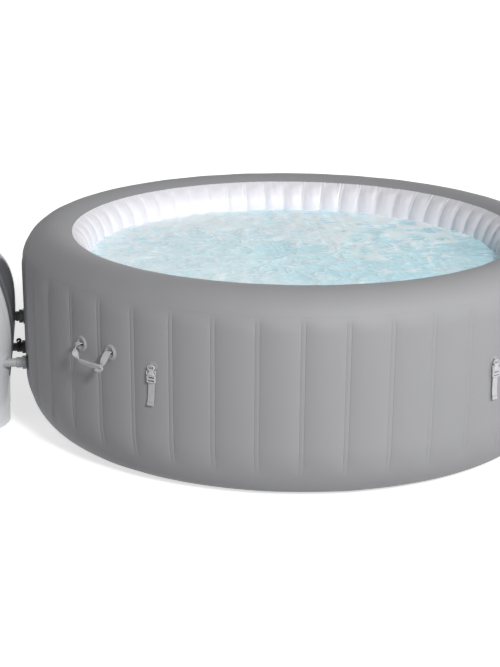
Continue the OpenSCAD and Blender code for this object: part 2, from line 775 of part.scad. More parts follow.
module circulation_motor() {
    motor_y = volute_y + volute_l;
    color([0.5, 0.5, 0.52]) at_pump() translate([0, 0, volute_z]) difference() {
        from_y(motor_d, motor_y, motor_l);
        from_y(shaft_d + 2 * running_gap, motor_y - cut, motor_l / 2);
    }
}
blower_x = -50;
blower_z = 300;
blower_r = 70;
blower_h = 60;
module at_blower() { at_pump() translate([blower_x, 0, blower_z]) children(); }
// The blower's casing carries its motor underneath
module blower_housing() {
    color([0.25, 0.25, 0.26]) at_blower() difference() {
        union() {
            cylinder(r = blower_r, h = blower_h);
            translate([0, 0, -blower_h]) cylinder(r = blower_r / 2, h = blower_h);
        }
        translate([0, 0, wall_t]) cylinder(r = blower_r - wall_t, h = blower_h - 2 * wall_t);
        translate([0, 0, blower_h - wall_t - cut]) cylinder(d = 50, h = wall_t + 2 * cut);
        translate([0, 0, -blower_h / 2]) cylinder(d = shaft_d + 2 * running_gap, h = blower_h);
        translate([0, 0, blower_h / 2]) along_x(20, blower_r - 2 * wall_t, blower_r + cut);
    }
}
module blower_impeller() {
    color([0.85, 0.85, 0.8]) at_blower() {
        translate([0, 0, -blower_h / 2 + cut]) cylinder(d = shaft_d, h = blower_h / 2 + wall_t + 4);
        translate([0, 0, wall_t + 3]) cylinder(r = blower_r - wall_t - 6, h = 3);
        for (a = [0:30:330]) rotate([0, 0, a]) translate([blower_r - wall_t - 22, 0, wall_t + 16])
            block(30, 2.5, 22);
    }
}
heater_x = 60;
heater_z = 200;
heater_d = 50;
heater_l = 160;
hose_d = 20;
module heater_tube() {
    color([0.7, 0.7, 0.72]) at_pump() translate([heater_x, 0, heater_z]) difference() {
        along_y(heater_d, heater_l);
        along_y(heater_d - 6, heater_l - 6);
        along_y(hose_d - 6, heater_l + cut);
    }
}
// A straight run of hose between two points of which only one coordinate differs
module hose(a, b) {
    d = b - a;
    turn = d[0] != 0 ? [0, d[0] > 0 ? 90 : -90, 0]
        : d[1] != 0 ? [d[1] > 0 ? -90 : 90, 0, 0]
        : [d[2] > 0 ? 0 : 180, 0, 0];
    translate(a) rotate(turn) cylinder(d = hose_d, h = norm(d));
    translate(b) sphere(d = hose_d);
}
module hose_run(points) {
    for (i = [0:len(points) - 2]) hose(points[i], points[i + 1]);
}
module inner_hoses() {
    yb = ports[1][0];
    yc = ports[2][0];
    vy = volute_y + volute_l / 2;
    end_x = pump_x - pipe_inner_x - hose_d / 2;
    color([0.75, 0.76, 0.78]) at_pump() {
        hose_run([[end_x, yc, water_port_z], [0, yc, water_port_z], [0, yc, volute_z],
            [0, volute_y - hose_d / 2, volute_z]]);
        hose_run([[0, vy, volute_z + volute_r + hose_d / 2], [0, vy, heater_z],
            [heater_x - heater_d / 2 - hose_d / 2, vy, heater_z]]);
        hose_run([[heater_x, heater_l / 2 + hose_d / 2, heater_z], [heater_x, yb, heater_z],
            [heater_x, yb, water_port_z], [end_x, yb, water_port_z]]);
        hose_run([[blower_x + blower_r + hose_d / 2, 0, blower_z + blower_h / 2],
            [heater_x, 0, blower_z + blower_h / 2], [heater_x, 0, air_port_z],
            [end_x, 0, air_port_z]]);
    }
}
gland_d = 22;
module cord_gland() {
    color([0.08, 0.08, 0.08]) at_pump() translate([0, gland_y, gland_z]) difference() {
        union() {
            from_y(gland_d, -14, 22);
            from_y(gland_d + 8, 2, 4);
        }
        from_y(9, -16, 28);
    }
}

outer_wall();
rim_sheet();
inner_liner();
floor_sheet();
bottom_sheet();
tension_bands();
air_valve_body();
air_valve_cap();
drain_valve_body();
drain_valve_cap();
handle_patches();
handle_strap(0);  // handle_1_strap
handle_strap(1);  // handle_2_strap
clip_anchors();
clip_socket(0);  // clip_1_socket
clip_prong(0);  // clip_1_prong
clip_socket(1);  // clip_2_socket
clip_prong(1);  // clip_2_prong
clip_socket(2);  // clip_3_socket
clip_prong(2);  // clip_3_prong
clip_socket(3);  // clip_4_socket
clip_prong(3);  // clip_4_prong
clip_socket(4);  // clip_5_socket
clip_prong(4);  // clip_5_prong
port_bodies();
port_gaskets();
coupling_nut_a();
coupling_nut_b();
coupling_nut_c();
pump_pipes();
pipe_tether();
filter_housing();
filter_cartridge();
filter_cap();
return_screen();
air_riser();
air_ring();
front_shell();
rear_shell();
pump_base();
rubber_feet();
base_screws();
intake_grille();
control_panel();
display_lens();
button(0);  // button_power
button(1);  // button_filter
button(2);  // button_heater
button(3);  // button_bubbles
button(4);  // button_warmer
button(5);  // button_cooler
circuit_board();
circulation_housing();
circulation_impeller();
circulation_motor();
blower_housing();
blower_impeller();
heater_tube();
inner_hoses();
cord_gland();
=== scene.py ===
# %% [markdown]
# # Dressing an inflatable hot tub
# The CAD model gives this tub its size, its parts and its joints. Here each visible part gets the shape and
# the finish of the real thing: welded PVC, webbing, moulded plastic, water. Every length is in metres, and
# the tub stands at the origin with its pump unit on the side of negative x.
# First the frame is opened and its box is noted.

# %% Open the frame
import json
import math

import bmesh
import bpy
import numpy as np
from mathutils import Matrix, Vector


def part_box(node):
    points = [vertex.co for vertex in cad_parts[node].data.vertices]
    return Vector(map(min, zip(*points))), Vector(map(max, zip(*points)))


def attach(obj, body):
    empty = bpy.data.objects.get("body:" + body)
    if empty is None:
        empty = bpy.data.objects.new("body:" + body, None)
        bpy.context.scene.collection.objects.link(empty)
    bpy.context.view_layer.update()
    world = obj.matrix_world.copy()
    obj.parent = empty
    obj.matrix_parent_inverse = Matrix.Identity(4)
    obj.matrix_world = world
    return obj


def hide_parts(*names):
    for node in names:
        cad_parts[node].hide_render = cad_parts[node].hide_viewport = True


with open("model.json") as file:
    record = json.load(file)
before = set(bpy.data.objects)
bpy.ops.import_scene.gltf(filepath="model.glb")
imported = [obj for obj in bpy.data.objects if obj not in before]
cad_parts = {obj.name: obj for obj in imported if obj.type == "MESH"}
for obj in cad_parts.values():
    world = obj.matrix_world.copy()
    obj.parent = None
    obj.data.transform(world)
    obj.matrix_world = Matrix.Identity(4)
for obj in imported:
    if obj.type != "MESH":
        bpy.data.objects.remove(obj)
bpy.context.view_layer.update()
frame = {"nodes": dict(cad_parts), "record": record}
TAU = 2 * math.pi
NEAR_LIFT, FAR_LIFT, WORLD_LEVEL = 0.66, 1.0, 0.117   # extra white of the floor to the eye, and even light
SOFT_BOXES = [("front_soft_box", 283, 30, 12.0, 1.6, 920), ("right_soft_box", 340, 24, 12.0, 2.0, 350)]

# %% [markdown]
# ## Surfaces from grids
# A sheet, a tube or a strap can be sculpted, or built from primitives and modifiers. Here each is a formula
# of two parameters instead, worked out on a whole grid at once with numpy. That keeps the shapes exact,
# repeatable and easy to change. One function turns a grid of points into quads with a UV map in metres, and
# one joins several grids into a piece that rides on its CAD body.

# %% Grids and pieces
def grid(points, around=False, along=False, ends=(), uv=None):
    """Quads between neighbours of points[i, j]. Its faces look along (step of i) x (step of j).
    around closes the grid over i, along closes it over j, and ends lists the j rows that get a flat cap."""
    m, n = points.shape[:2]
    i, j = np.meshgrid(np.arange(m if around else m - 1), np.arange(n if along else n - 1), indexing="ij")
    i, j = i.ravel(), j.ravel()
    c, d = (i + 1) % m, (j + 1) % n
    faces = [np.stack([i * n + j, c * n + j, c * n + d, i * n + d], 1)]
    if uv is None:
        uv = np.stack(np.meshgrid(np.linspace(0, 1, m + 1), np.linspace(0, 1, n + 1), indexing="ij"), -1)
    elif uv.shape[0] == m:
        uv = np.pad(uv, ((0, 1), (0, 1), (0, 0)), mode="reflect", reflect_type="odd")
    corners = [np.stack([uv[i, j], uv[i + 1, j], uv[i + 1, j + 1], uv[i, j + 1]], 1)]
    for row in ends:
        ring = np.arange(m) * n + row % n
        faces.append((ring[::-1] if row == 0 else ring)[None, :])
        corners.append(np.zeros((1, m, 2)))
    return points.reshape(-1, 3), faces, corners


def piece(name, grids, body, material, hides=(), weld_points=False, crease=40, marks=None):
    """Joins grids into one mesh object named name, finished with material, riding on body.
    crease is the angle in degrees past which an edge is sharp. marks holds one value per point, by name."""
    points, loops, starts, corners, shift, at = [], [], [], [], 0, 0
    for p, faces, uvs in grids:
        points.append(p)
        for f, uv in zip(faces, uvs):
            loops.append((f + shift).ravel())
            starts.append(at + np.arange(len(f)) * f.shape[1])
            corners.append(uv.reshape(-1, 2))
            at += f.size
        shift += len(p)
    points, loops = np.concatenate(points), np.concatenate(loops)
    starts, corners = np.concatenate(starts), np.concatenate(corners)
    mesh = bpy.data.meshes.new(name)
    mesh.vertices.add(len(points))
    mesh.vertices.foreach_set("co", points.astype(np.float32).ravel())
    mesh.loops.add(len(loops))
    mesh.loops.foreach_set("vertex_index", loops.astype(np.int32))
    mesh.polygons.add(len(starts))
    mesh.polygons.foreach_set("loop_start", starts.astype(np.int32))
    mesh.update(calc_edges=True)
    layer = mesh.uv_layers.new(name="UVMap")
    layer.data.foreach_set("uv", corners.astype(np.float32).ravel())
    for key, values in (marks or {}).items():
        mark = mesh.attributes.new(key, "FLOAT", "POINT")
        mark.data.foreach_set("value", values.astype(np.float32).ravel())
    if weld_points:
        shell = bmesh.new()
        shell.from_mesh(mesh)
        bmesh.ops.remove_doubles(shell, verts=shell.verts, dist=1e-6)
        shell.to_mesh(mesh)
        shell.free()
    mesh.shade_smooth()
    mesh.set_sharp_from_angle(angle=math.radians(crease))
    mesh.materials.append(material)
    made = bpy.data.objects.new(name, mesh)
    bpy.context.collection.objects.link(made)
    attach(made, body)
    if hides:
        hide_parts(*hides)
    print(f"{name}: {len(points)} points, rides on {body}")
    return made


def rise(low, high, x):
    """0 up to low, 1 from high on, and 3t^2 - 2t^3 between them."""
    t = np.clip((x - low) / (high - low), 0, 1)
    return t * t * (3 - 2 * t)


def turned(points, angle, centre=(0, 0, 0)):
    """points turned about the z axis by angle in degrees, then moved by centre."""
    c, s = math.cos(math.radians(angle)), math.sin(math.radians(angle))
    return points @ np.array([[c, s, 0], [-s, c, 0], [0, 0, 1]]) + np.array(centre)


def sweep(path, across, section, twist=None):
    """Carries section, a closed loop of (a, b) pairs, along path: point = path + a * side + b * front, where
    front is the path's direction crossed with side, and side is across made square to the path.
    section may have one loop for every path point."""
    path, section = np.asarray(path, float), np.asarray(section, float)
    ahead = np.gradient(path, axis=0)
    ahead /= np.linalg.norm(ahead, axis=1, keepdims=True)
    side = np.broadcast_to(np.asarray(across, float), path.shape)
    side = side - (side * ahead).sum(1, keepdims=True) * ahead
    side /= np.linalg.norm(side, axis=1, keepdims=True)
    front = np.cross(ahead, side)
    if section.ndim == 2:
        section = np.broadcast_to(section, (len(path), *section.shape))
    loops = path[:, None] + section[..., :1] * side[:, None] + section[..., 1:] * front[:, None]
    return loops.transpose(1, 0, 2)


def rounded(half_a, half_b, power=4, count=24):
    """A closed loop round a rectangle with soft corners: |a/half_a|^power + |b/half_b|^power = 1."""
    t = np.arange(count) / count * TAU
    c, s = np.cos(t), np.sin(t)
    return np.stack([half_a * np.sign(c) * np.abs(c) ** (2 / power),
                     half_b * np.sign(s) * np.abs(s) ** (2 / power)], 1)

# %% [markdown]
# ## Materials in general
# A material could be painted as an image. Here each is a few nodes, so that it stays sharp at any distance
# and needs no file. Colours are written as hex values, as a paint chart gives them, and one function turns
# them linear. One more adds a node with its settings and links.

# %% Colours and nodes
def linear(code, alpha=1.0):
    """sRGB hex to linear: c / 12.92 up to 0.04045, and ((c + 0.055) / 1.055)^2.4 above."""
    c = np.array([int(code[k:k + 2], 16) for k in (1, 3, 5)]) / 255
    return (*np.where(c <= 0.04045, c / 12.92, ((c + 0.055) / 1.055) ** 2.4), alpha)


def add(tree, kind, links=None, values=None, **settings):
    """Adds a node with its settings, its sockets' values and the sockets linked into it."""
    node = tree.nodes.new(kind)
    for key, value in settings.items():
        setattr(node, key, value)
    for key, value in (values or {}).items():
        node.inputs[key].default_value = value
    for key, source in (links or {}).items():
        tree.links.new(source, node.inputs[key])
    return node


def finish_of(name, colour, roughness, dark=0.92, patch=0.12, grain=0.0015, relief=0.0003, coarse=0.06,
              **surface):
    """A named finish: colour that drifts down to dark times itself over patches of size patch, roughness
    that drifts with it, and a relief of that height made of grains of size grain."""
    material = bpy.data.materials.new(name)
    material.use_nodes = True
    tree = material.node_tree
    shader = tree.nodes["Principled BSDF"]
    place = add(tree, "ShaderNodeTexCoord").outputs["Object"]
    drift = add(tree, "ShaderNodeTexNoise", {"Vector": place}, {"Scale": 1 / patch, "Detail": 3})
    full = linear(colour)
    shade = add(tree, "ShaderNodeMix", {"Factor": drift.outputs["Fac"]}, data_type="RGBA")
    shade.inputs["A"].default_value = (*(dark * c for c in full[:3]), 1)
    shade.inputs["B"].default_value = (*(min(1, (2 - dark) * c) for c in full[:3]), 1)
    gloss = add(tree, "ShaderNodeMapRange", {"Value": drift.outputs["Fac"]},
                {"To Min": roughness - coarse, "To Max": roughness + coarse})
    grains = add(tree, "ShaderNodeTexNoise", {"Vector": place}, {"Scale": 1 / grain, "Detail": 2})
    bump = add(tree, "ShaderNodeBump", {"Height": grains.outputs["Fac"]}, {"Distance": relief})
    tree.links.new(shade.outputs["Result"], shader.inputs["Base Color"])
    tree.links.new(gloss.outputs["Result"], shader.inputs["Roughness"])
    tree.links.new(bump.outputs["Normal"], shader.inputs["Normal"])
    for key, value in surface.items():
        shader.inputs[key.replace("_", " ")].default_value = value
    return material

# %% [markdown]
# ## PVC, plastics and metal
# The wall is laminated PVC sheet, calendered and then embossed with a fine leather grain that makes it matt.
# The liner is the same sheet in white with a smoother face. The fittings are moulded ABS and polypropylene
# with the faint sparkle of a spark-eroded mould. Grain of half a millimetre is too fine to show, so it is
# drawn at 1.5 to 4 millimetres.

# %% Plain finishes
grey_pvc = finish_of("embossed_grey_pvc", "#9d9da0", 0.62, dark=0.965, patch=0.25, grain=0.004,
                     relief=0.00035, IOR=1.53)
seam_pvc = finish_of("welded_grey_pvc", "#a6a6a9", 0.55, dark=0.97, patch=0.2, grain=0.003, relief=0.0002,
                     IOR=1.53)
white_pvc = finish_of("smooth_white_pvc", "#f3f0f6", 0.42, dark=0.985, patch=0.18, grain=0.006, relief=0.0002,
                      IOR=1.53)
base_pvc = finish_of("dark_base_pvc", "#55565a", 0.6, patch=0.2, grain=0.004, relief=0.0004, IOR=1.53)
clip_abs = finish_of("light_moulded_acetal", "#cdcdd0", 0.38, dark=0.97, patch=0.02, grain=0.001,
                     relief=0.00005, IOR=1.48)
dark_abs = finish_of("dark_moulded_abs", "#4a4b4e", 0.45, patch=0.05, grain=0.002, relief=0.0001, IOR=1.54)
black_abs = finish_of("black_moulded_abs", "#1f2022", 0.42, patch=0.05, grain=0.002, relief=0.0001, IOR=1.54)
nut_abs = finish_of("light_grey_moulded_abs", "#a9aaad", 0.42, patch=0.03, grain=0.002, relief=0.0001,
                    IOR=1.54)
shell_abs = finish_of("silver_painted_abs", "#ecedf0", 0.36, dark=0.985, patch=0.2, grain=0.002,
                      relief=0.00004, IOR=1.5, Metallic=0.1, Coat_Weight=0.5)
rear_abs = finish_of("graphite_painted_abs", "#7b7c80", 0.3, dark=0.95, patch=0.2, grain=0.002,
                     relief=0.00005, IOR=1.5, Metallic=0.3, Coat_Weight=0.4)
pipe_pvc = finish_of("grey_extruded_pvc_pipe", "#77787b", 0.35, patch=0.05, grain=0.003, relief=0.00008,
                     IOR=1.53)
button_abs = finish_of("satin_button_abs", "#c9cacd", 0.4, patch=0.02, grain=0.001, relief=0.00003)
# This black is the rubber's own colour on the hook, and painted shade in the handle slots.
black_rubber_and_slot_shade = finish_of("black_moulded_rubber_and_slot_shade", "#1b1b1c", 0.75, patch=0.03, grain=0.0015, relief=0.0002,
                   IOR=1.52)
white_abs = finish_of("white_moulded_polypropylene", "#e8e9ec", 0.4, patch=0.05, grain=0.002, relief=0.0001)
steel = finish_of("zinc_plated_steel", "#c3c5c9", 0.3, dark=0.9, patch=0.01, grain=0.001, relief=0.00003,
                  Metallic=1.0)
motor_steel = finish_of("painted_motor_steel", "#8c8e93", 0.4, patch=0.04, Metallic=0.6)
paper = finish_of("pleated_filter_paper", "#eceef0", 0.85, patch=0.01, grain=0.002, relief=0.0004)
board = finish_of("green_circuit_board", "#1f6b3f", 0.35, dark=0.8, patch=0.01, grain=0.004, relief=0.0002)
glass = finish_of("smoked_display_lens", "#10151a", 0.08, dark=0.9, patch=0.05, relief=0.0, coarse=0.02,
                  Coat_Weight=1.0)

by_slot = {"grey_pvc": grey_pvc, "white_liner": white_pvc, "dark_bottom": base_pvc, "band_pvc": white_pvc,
           "clip_plastic": clip_abs, "dark_plastic": dark_abs, "black_plastic": black_abs,
           "light_plastic": shell_abs, "pipe_plastic": pipe_pvc, "black_rubber": black_rubber_and_slot_shade,
           "white_plastic": white_abs, "filter_paper": paper, "screw_steel": steel,
           "motor_steel": motor_steel, "board_green": board, "lens_dark": glass}
print("finishes:", len(by_slot))

# %% [markdown]
# ## The inflated wall
# The wall is one sheet of PVC, welded to upright bands inside. Air pushes it out between the welds, so it
# stands in 42 shallow channels, each a soft arch between two flat weld strips. It could be inflated by cloth
# simulation, but the welds are so regular that a formula gives the same shape sharper: the outline of the
# wall is turned about the axis, and a bulge is added that depends on the distance to the nearest weld.

# %% The wall's outline
SHEET = 0.002                       # thickness of the laminated sheet
CREST_W, CREST_H = 0.115, 0.128     # the round from the side to the crest
FOOT_W, FOOT_H = 0.157, 0.204       # the round from the side to the foot
SIDE_LEAN = 0.0085                  # how far the side leans in, from the crest down to the foot
rim_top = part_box("rim_sheet")[1]
TUB_R, TUB_H = max(rim_top[1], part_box("outer_wall")[1][1]), rim_top[2]
CREST_R, CREST_Z = TUB_R - CREST_W, TUB_H - CREST_H
FOOT_R = CREST_R - 0.0505           # where the foot's round meets the floor
INNER_R = 0.740
WALL_SEAM, RIM_SEAM = 25, 121.33    # where the wall meets the rim, and the rim the liner, round the crest
print("tub radius and height:", TUB_R, TUB_H)


def arc(centre, radii, start, end, count):
    """Points (r, z) = centre + radii * (cos t, sin t) for t from start to end in degrees."""
    t = np.radians(np.linspace(start, end, count))
    return np.stack([centre[0] + radii[0] * np.cos(t), centre[1] + radii[1] * np.sin(t)], 1)


def side_radius(z):
    """Outside radius at height z: the foot's ellipse up to its top, then a straight lean to the crest."""
    foot = FOOT_R + FOOT_W * np.sqrt(np.clip(1 - ((FOOT_H - z) / FOOT_H) ** 2, 0, 1))
    lean = TUB_R - SIDE_LEAN * (CREST_Z - z) / (CREST_Z - FOOT_H)
    return np.where(z < FOOT_H, foot, np.minimum(lean, TUB_R))


def normals(line):
    """Unit vectors square to a line of (r, z) points, to the right of its direction."""
    d = np.gradient(line, axis=0)
    return np.stack([d[:, 1], -d[:, 0]], 1) / np.linalg.norm(d, axis=1, keepdims=True)


def skin(line, push, angles, back_count):
    """Turns a line of (r, z) points about the axis, pushed along its normals by push[i, j]. The same surface
    a sheet's thickness behind it, on back_count rows, closes the loop."""
    facing = normals(line)
    pick = np.round(np.linspace(len(line) - 1, 0, back_count)).astype(int)
    front = line[None] + push[..., None] * facing
    loop = np.concatenate([front, front[:, pick] - SHEET * facing[pick]], 1)
    return np.stack([loop[..., 0] * np.cos(angles)[:, None], loop[..., 0] * np.sin(angles)[:, None],
                     loop[..., 1]], -1)

# %% [markdown]
# The welds stand at equal angles. Points crowd at each weld strip and thin out towards the middle of a
# channel, where the surface is smooth. Round flat fields are kept for the ports and valves.

# %% The channels
BANDS, FIRST_BAND = 42, 255.337     # number of welds, and the angle of one of them in degrees
PITCH = TAU / BANDS
HALF_CHANNEL = 0.98 * PITCH / 2     # half the width of a channel, measured along the side
STRIP, DEPTH, BULGE, ARCH = 0.0078, 0.0046, 0.0016, 2.3
steps = np.array([0, 4, 6.8, 7.9, 9.2, 12, 17, 25, 37, 53]) / 1000
half = steps / HALF_CHANNEL / 2
in_channel = np.concatenate([half, [0.5], 1 - half[:0:-1]])
wall_angles = (math.radians(FIRST_BAND) + PITCH * (np.arange(BANDS)[:, None] + in_channel)).ravel()
FLAT_FIELDS = [(180.0, 0.386, 0.028), (174.39, 0.242, 0.028), (185.61, 0.242, 0.028), (156.8, 0.42, 0.032),
               (19.0, 0.15, 0.032)]     # ports and valves: angle, height and radius of the flange


def wave_sum(angle, z, size, seed, count=18):
    """A sum of waves with a whole number of turns round the tub, so that the start meets the end."""
    rng = np.random.default_rng(seed)
    turns, lift = rng.integers(3, 40, count), rng.uniform(-14, 14, count)
    start, share = rng.uniform(0, TAU, count), rng.uniform(0.3, 1, count)
    return size / share.sum() * sum(s * np.sin(n * angle + k * z + p)
                                    for n, k, p, s in zip(turns, lift, start, share))


def wall_push(angle, z):
    """Height of the wall over its plain outline: -DEPTH on a weld strip, then an arch
    -DEPTH + (DEPTH + BULGE) * (1 - (1 - x)^ARCH) with x running from the strip to mid channel."""
    turn = (angle - math.radians(FIRST_BAND)) / PITCH
    off = np.abs(turn - np.round(turn)) * PITCH * side_radius(z)
    x = np.clip((off - STRIP) / (HALF_CHANNEL - STRIP), 0, 1)
    arch = (DEPTH + BULGE) * (1 - (1 - x) ** ARCH)
    groove = 0.0007 * np.exp(-((off - STRIP) / 0.0011) ** 2) - 0.0004 * np.exp(-(off / 0.003) ** 2)
    fade = rise(0.642, 0.592, z) * rise(0.085, 0.15, z)
    push = fade * (arch - DEPTH - groove) + wave_sum(angle, z, 0.0011, 5)
    for field, height, radius in FLAT_FIELDS:
        away = np.angle(np.exp(1j * (angle - math.radians(field))))
        push = push * rise(1.12 * radius, 1.9 * radius, np.hypot(away * 0.977, z - height))
    return push

# %% [markdown]
# The wall runs from the foot's lowest circle up to the weld with the rim. Its loop goes up the outside and
# comes down again a sheet's thickness behind, so that the piece is a closed solid as the real sheet is.

# %% The wall's skin
outside = np.concatenate([
    arc((FOOT_R, FOOT_H), (FOOT_W, FOOT_H), -90, 0, 20)[:-1],
    np.stack([side_radius(np.linspace(FOOT_H, CREST_Z, 16)), np.linspace(FOOT_H, CREST_Z, 16)], 1)[:-1],
    arc((CREST_R, CREST_Z), (CREST_W, CREST_H), 0, WALL_SEAM, 10)])
wall_points = skin(outside, wall_push(wall_angles[:, None], outside[None, :, 1]), wall_angles, 14)
piece("wall_skin", [grid(wall_points, around=True, along=True)], "tub", grey_pvc,
      hides=["outer_wall"])

# %% [markdown]
# ## The rim
# A second grey sheet makes the rounded top. It is welded to the wall under the shoulder, and its inner edge
# is welded over the white liner. Nothing pulls it into channels, so it is almost smooth: only slow waves and
# a fine fan of pleats near the inner weld, where the flat sheet had to shrink round the circle.

# %% The rim's skin
rim_line = np.concatenate([
    arc((CREST_R, CREST_Z), (CREST_W, CREST_H), WALL_SEAM, 90, 26)[:-1],
    arc((CREST_R, CREST_Z), (CREST_R - INNER_R, CREST_H), 90, RIM_SEAM, 14)])
rim_angles = np.arange(630) / 630 * TAU
rim_at = np.arange(len(rim_line)) / (len(rim_line) - 1)
pleats = 0.0006 * np.sin(210 * rim_angles + 3 * np.sin(7 * rim_angles))[:, None] * rise(0.8, 1, rim_at)
lap = 0.0005 * np.exp(-(rim_at / 0.02) ** 2) + 0.0012 * np.exp(-((rim_at - 0.985) / 0.012) ** 2)
slow = wave_sum(rim_angles[:, None], 0.5 * rim_line[None, :, 0], 0.0014, 9)
rim_push = slow * rise(0, 0.1, rim_at) + pleats + lap
piece("rim_skin", [grid(skin(rim_line, rim_push, rim_angles, 10), around=True, along=True)],
      "tub", grey_pvc, hides=["rim_sheet"])

# %% [markdown]
# ## The liner
# The inner wall is white, tied by narrower welds, so it has finer ribs. Its sheet is a little too long for
# the circle it sits on, and the spare length shows as small creases that run down from the weld with the rim.

# %% The liner's skin
RIBS = 63
RIB_PITCH = TAU / RIBS
RIB_STRIP, RIB_DEPTH, RIB_BULGE = 0.0045, 0.0036, 0.0028
FLOOR_ROUND, FLOOR_Z = 0.030, 0.004
liner_line = np.concatenate([
    arc((CREST_R, CREST_Z), (CREST_R - INNER_R, CREST_H), RIM_SEAM, 180, 26)[:-1],
    np.stack([np.full(10, INNER_R), np.linspace(CREST_Z, FLOOR_Z + FLOOR_ROUND, 10)], 1)[:-1],
    arc((INNER_R - FLOOR_ROUND, FLOOR_Z + FLOOR_ROUND), (FLOOR_ROUND, FLOOR_ROUND), 0, -90, 8)])
rib_steps = np.array([0, 2.2, 4.2, 5.4, 8, 13, 22, 31]) / 1000 / (RIB_PITCH * INNER_R)
in_rib = np.concatenate([rib_steps, [0.5], 1 - rib_steps[:0:-1]])
liner_angles = (RIB_PITCH * (np.arange(RIBS)[:, None] + in_rib)).ravel()


def liner_push(angle, z):
    """Like the wall's channels, towards the axis: RIB_BULGE in the middle of a rib, -RIB_DEPTH at a weld,
    with creases of 11 mm that fade out within 90 mm of the rim."""
    turn = angle / RIB_PITCH
    off = np.abs(turn - np.round(turn)) * TAU / RIBS * INNER_R
    x = np.clip((off - RIB_STRIP) / (RIB_PITCH * INNER_R / 2 - RIB_STRIP), 0, 1)
    ribs = (RIB_DEPTH + RIB_BULGE) * (1 - (1 - x) ** 2.2) - RIB_DEPTH
    wander = 4 * np.sin(5 * angle) + 3 * np.sin(11 * angle + 1)
    creases = 0.0011 * np.sin(420 * angle + wander + 30 * z) * np.sin(37 * angle + 2 + 8 * z)
    ribs = ribs * rise(0.686, 0.665, z) * rise(0.01, 0.05, z)
    return ribs + creases * rise(0.585, 0.675, z) + wave_sum(angle, z, 0.0012, 12)


liner_points = skin(liner_line, liner_push(liner_angles[:, None], liner_line[None, :, 1]), liner_angles, 12)
piece("liner_skin", [grid(liner_points, around=True, along=True)], "tub", white_pvc,
      hides=["inner_liner"])

# %% [markdown]
# ## Floor, base and inner bands
# The floor and the base are flat sheets pressed with shallow round dimples against slipping. Inside the wall,
# one upright sheet at each weld keeps the air from blowing the wall round. Nobody sees them, but they are
# what makes the channels, so they stay in the model, a little shorter than their welds.

# %% Floor, base and bands
def dimpled_disc(radius, low, high, rows, pitch, depth):
    """A closed disc between two heights. Its top is sunk by depth * (cos^2 of x and of y over pitch)^2."""
    angle = np.arange(240) / 240 * TAU
    r = np.concatenate([np.linspace(0, radius, rows), [radius, 0]])
    z = np.concatenate([np.full(rows, high), [low, low]])
    x, y = r[None] * np.cos(angle)[:, None], r[None] * np.sin(angle)[:, None]
    sink = depth * (np.cos(x / pitch * TAU / 2) * np.cos(y / pitch * TAU / 2)) ** 4
    sink[:, rows - 1:] = 0
    return np.stack([x, y, z[None] - sink], -1)[::-1]


piece("floor_skin", [grid(dimpled_disc(0.711, SHEET, FLOOR_Z, 130, 0.028, 0.0008), around=True)],
      "tub", white_pvc, hides=["floor_sheet"], weld_points=True)
piece("base_skin", [grid(dimpled_disc(FOOT_R, 0.0, SHEET, 40, 0.06, 0.0), around=True)],
      "tub", base_pvc, hides=["bottom_sheet"], weld_points=True)

band_angles = np.radians(FIRST_BAND) + PITCH * np.arange(BANDS)
band_z = np.linspace(0.19, 0.6, 9)
outer_edge = side_radius(band_z) - SHEET - DEPTH - 0.0012
flange = 0.0085
bands = []
for angle in band_angles:
    inner_edge = np.full_like(band_z, INNER_R + SHEET + 0.0045)
    sheet = np.array([(0, -flange), (0, -0.001), (1, -0.001), (1, -flange),
                      (1, flange), (1, 0.001), (0, 0.001), (0, flange)])
    r = inner_edge[None] + (outer_edge - inner_edge)[None] * sheet[:, :1]
    r += np.array([1, 1, -1, -1, -1, -1, 1, 1])[:, None] * np.array([0, 1, 1, 0, 0, 1, 1, 0])[:, None] * 0.001
    side = np.broadcast_to(sheet[:, 1:], r.shape)
    strip = np.stack([r, side, np.broadcast_to(band_z, r.shape)], -1)
    bands.append(grid(turned(strip, math.degrees(angle)), around=True, ends=(0, len(band_z) - 1)))
piece("inner_bands", bands, "tub", white_pvc, hides=["tension_bands"], crease=30)

# %% [markdown]
# ## The water
# Hundreds of air jets stir the water, so it is pale and half opaque, covered in short steep ripples with
# foam on them. A fluid simulation would take hours. Layers of smooth random hills do it at once: where a
# layer is folded about its middle, 1 - |2n - 1|, it makes the sharp crests of small waves.

# %% Random hills
def hills(x, y, size, seed):
    """Smooth random heights from 0 to 1: a seeded table read at steps of size, blended along 3t^2 - 2t^3."""
    table = np.random.default_rng(seed).random((128, 128))
    u, v = x / size + 500, y / size + 500
    i, j = np.floor(u).astype(int), np.floor(v).astype(int)
    a, b = u - i, v - j
    a, b = a * a * (3 - 2 * a), b * b * (3 - 2 * b)
    at = lambda p, q: table[p % 128, q % 128]
    near = at(i, j) * (1 - a) + at(i + 1, j) * a
    far = at(i, j + 1) * (1 - a) + at(i + 1, j + 1) * a
    return near * (1 - b) + far * b


def crests(x, y, size, seed, sharp=1.0):
    """Hills folded about their middle: (1 - |2n - 1|)^sharp."""
    return (1 - np.abs(2 * hills(x, y, size, seed) - 1)) ** sharp

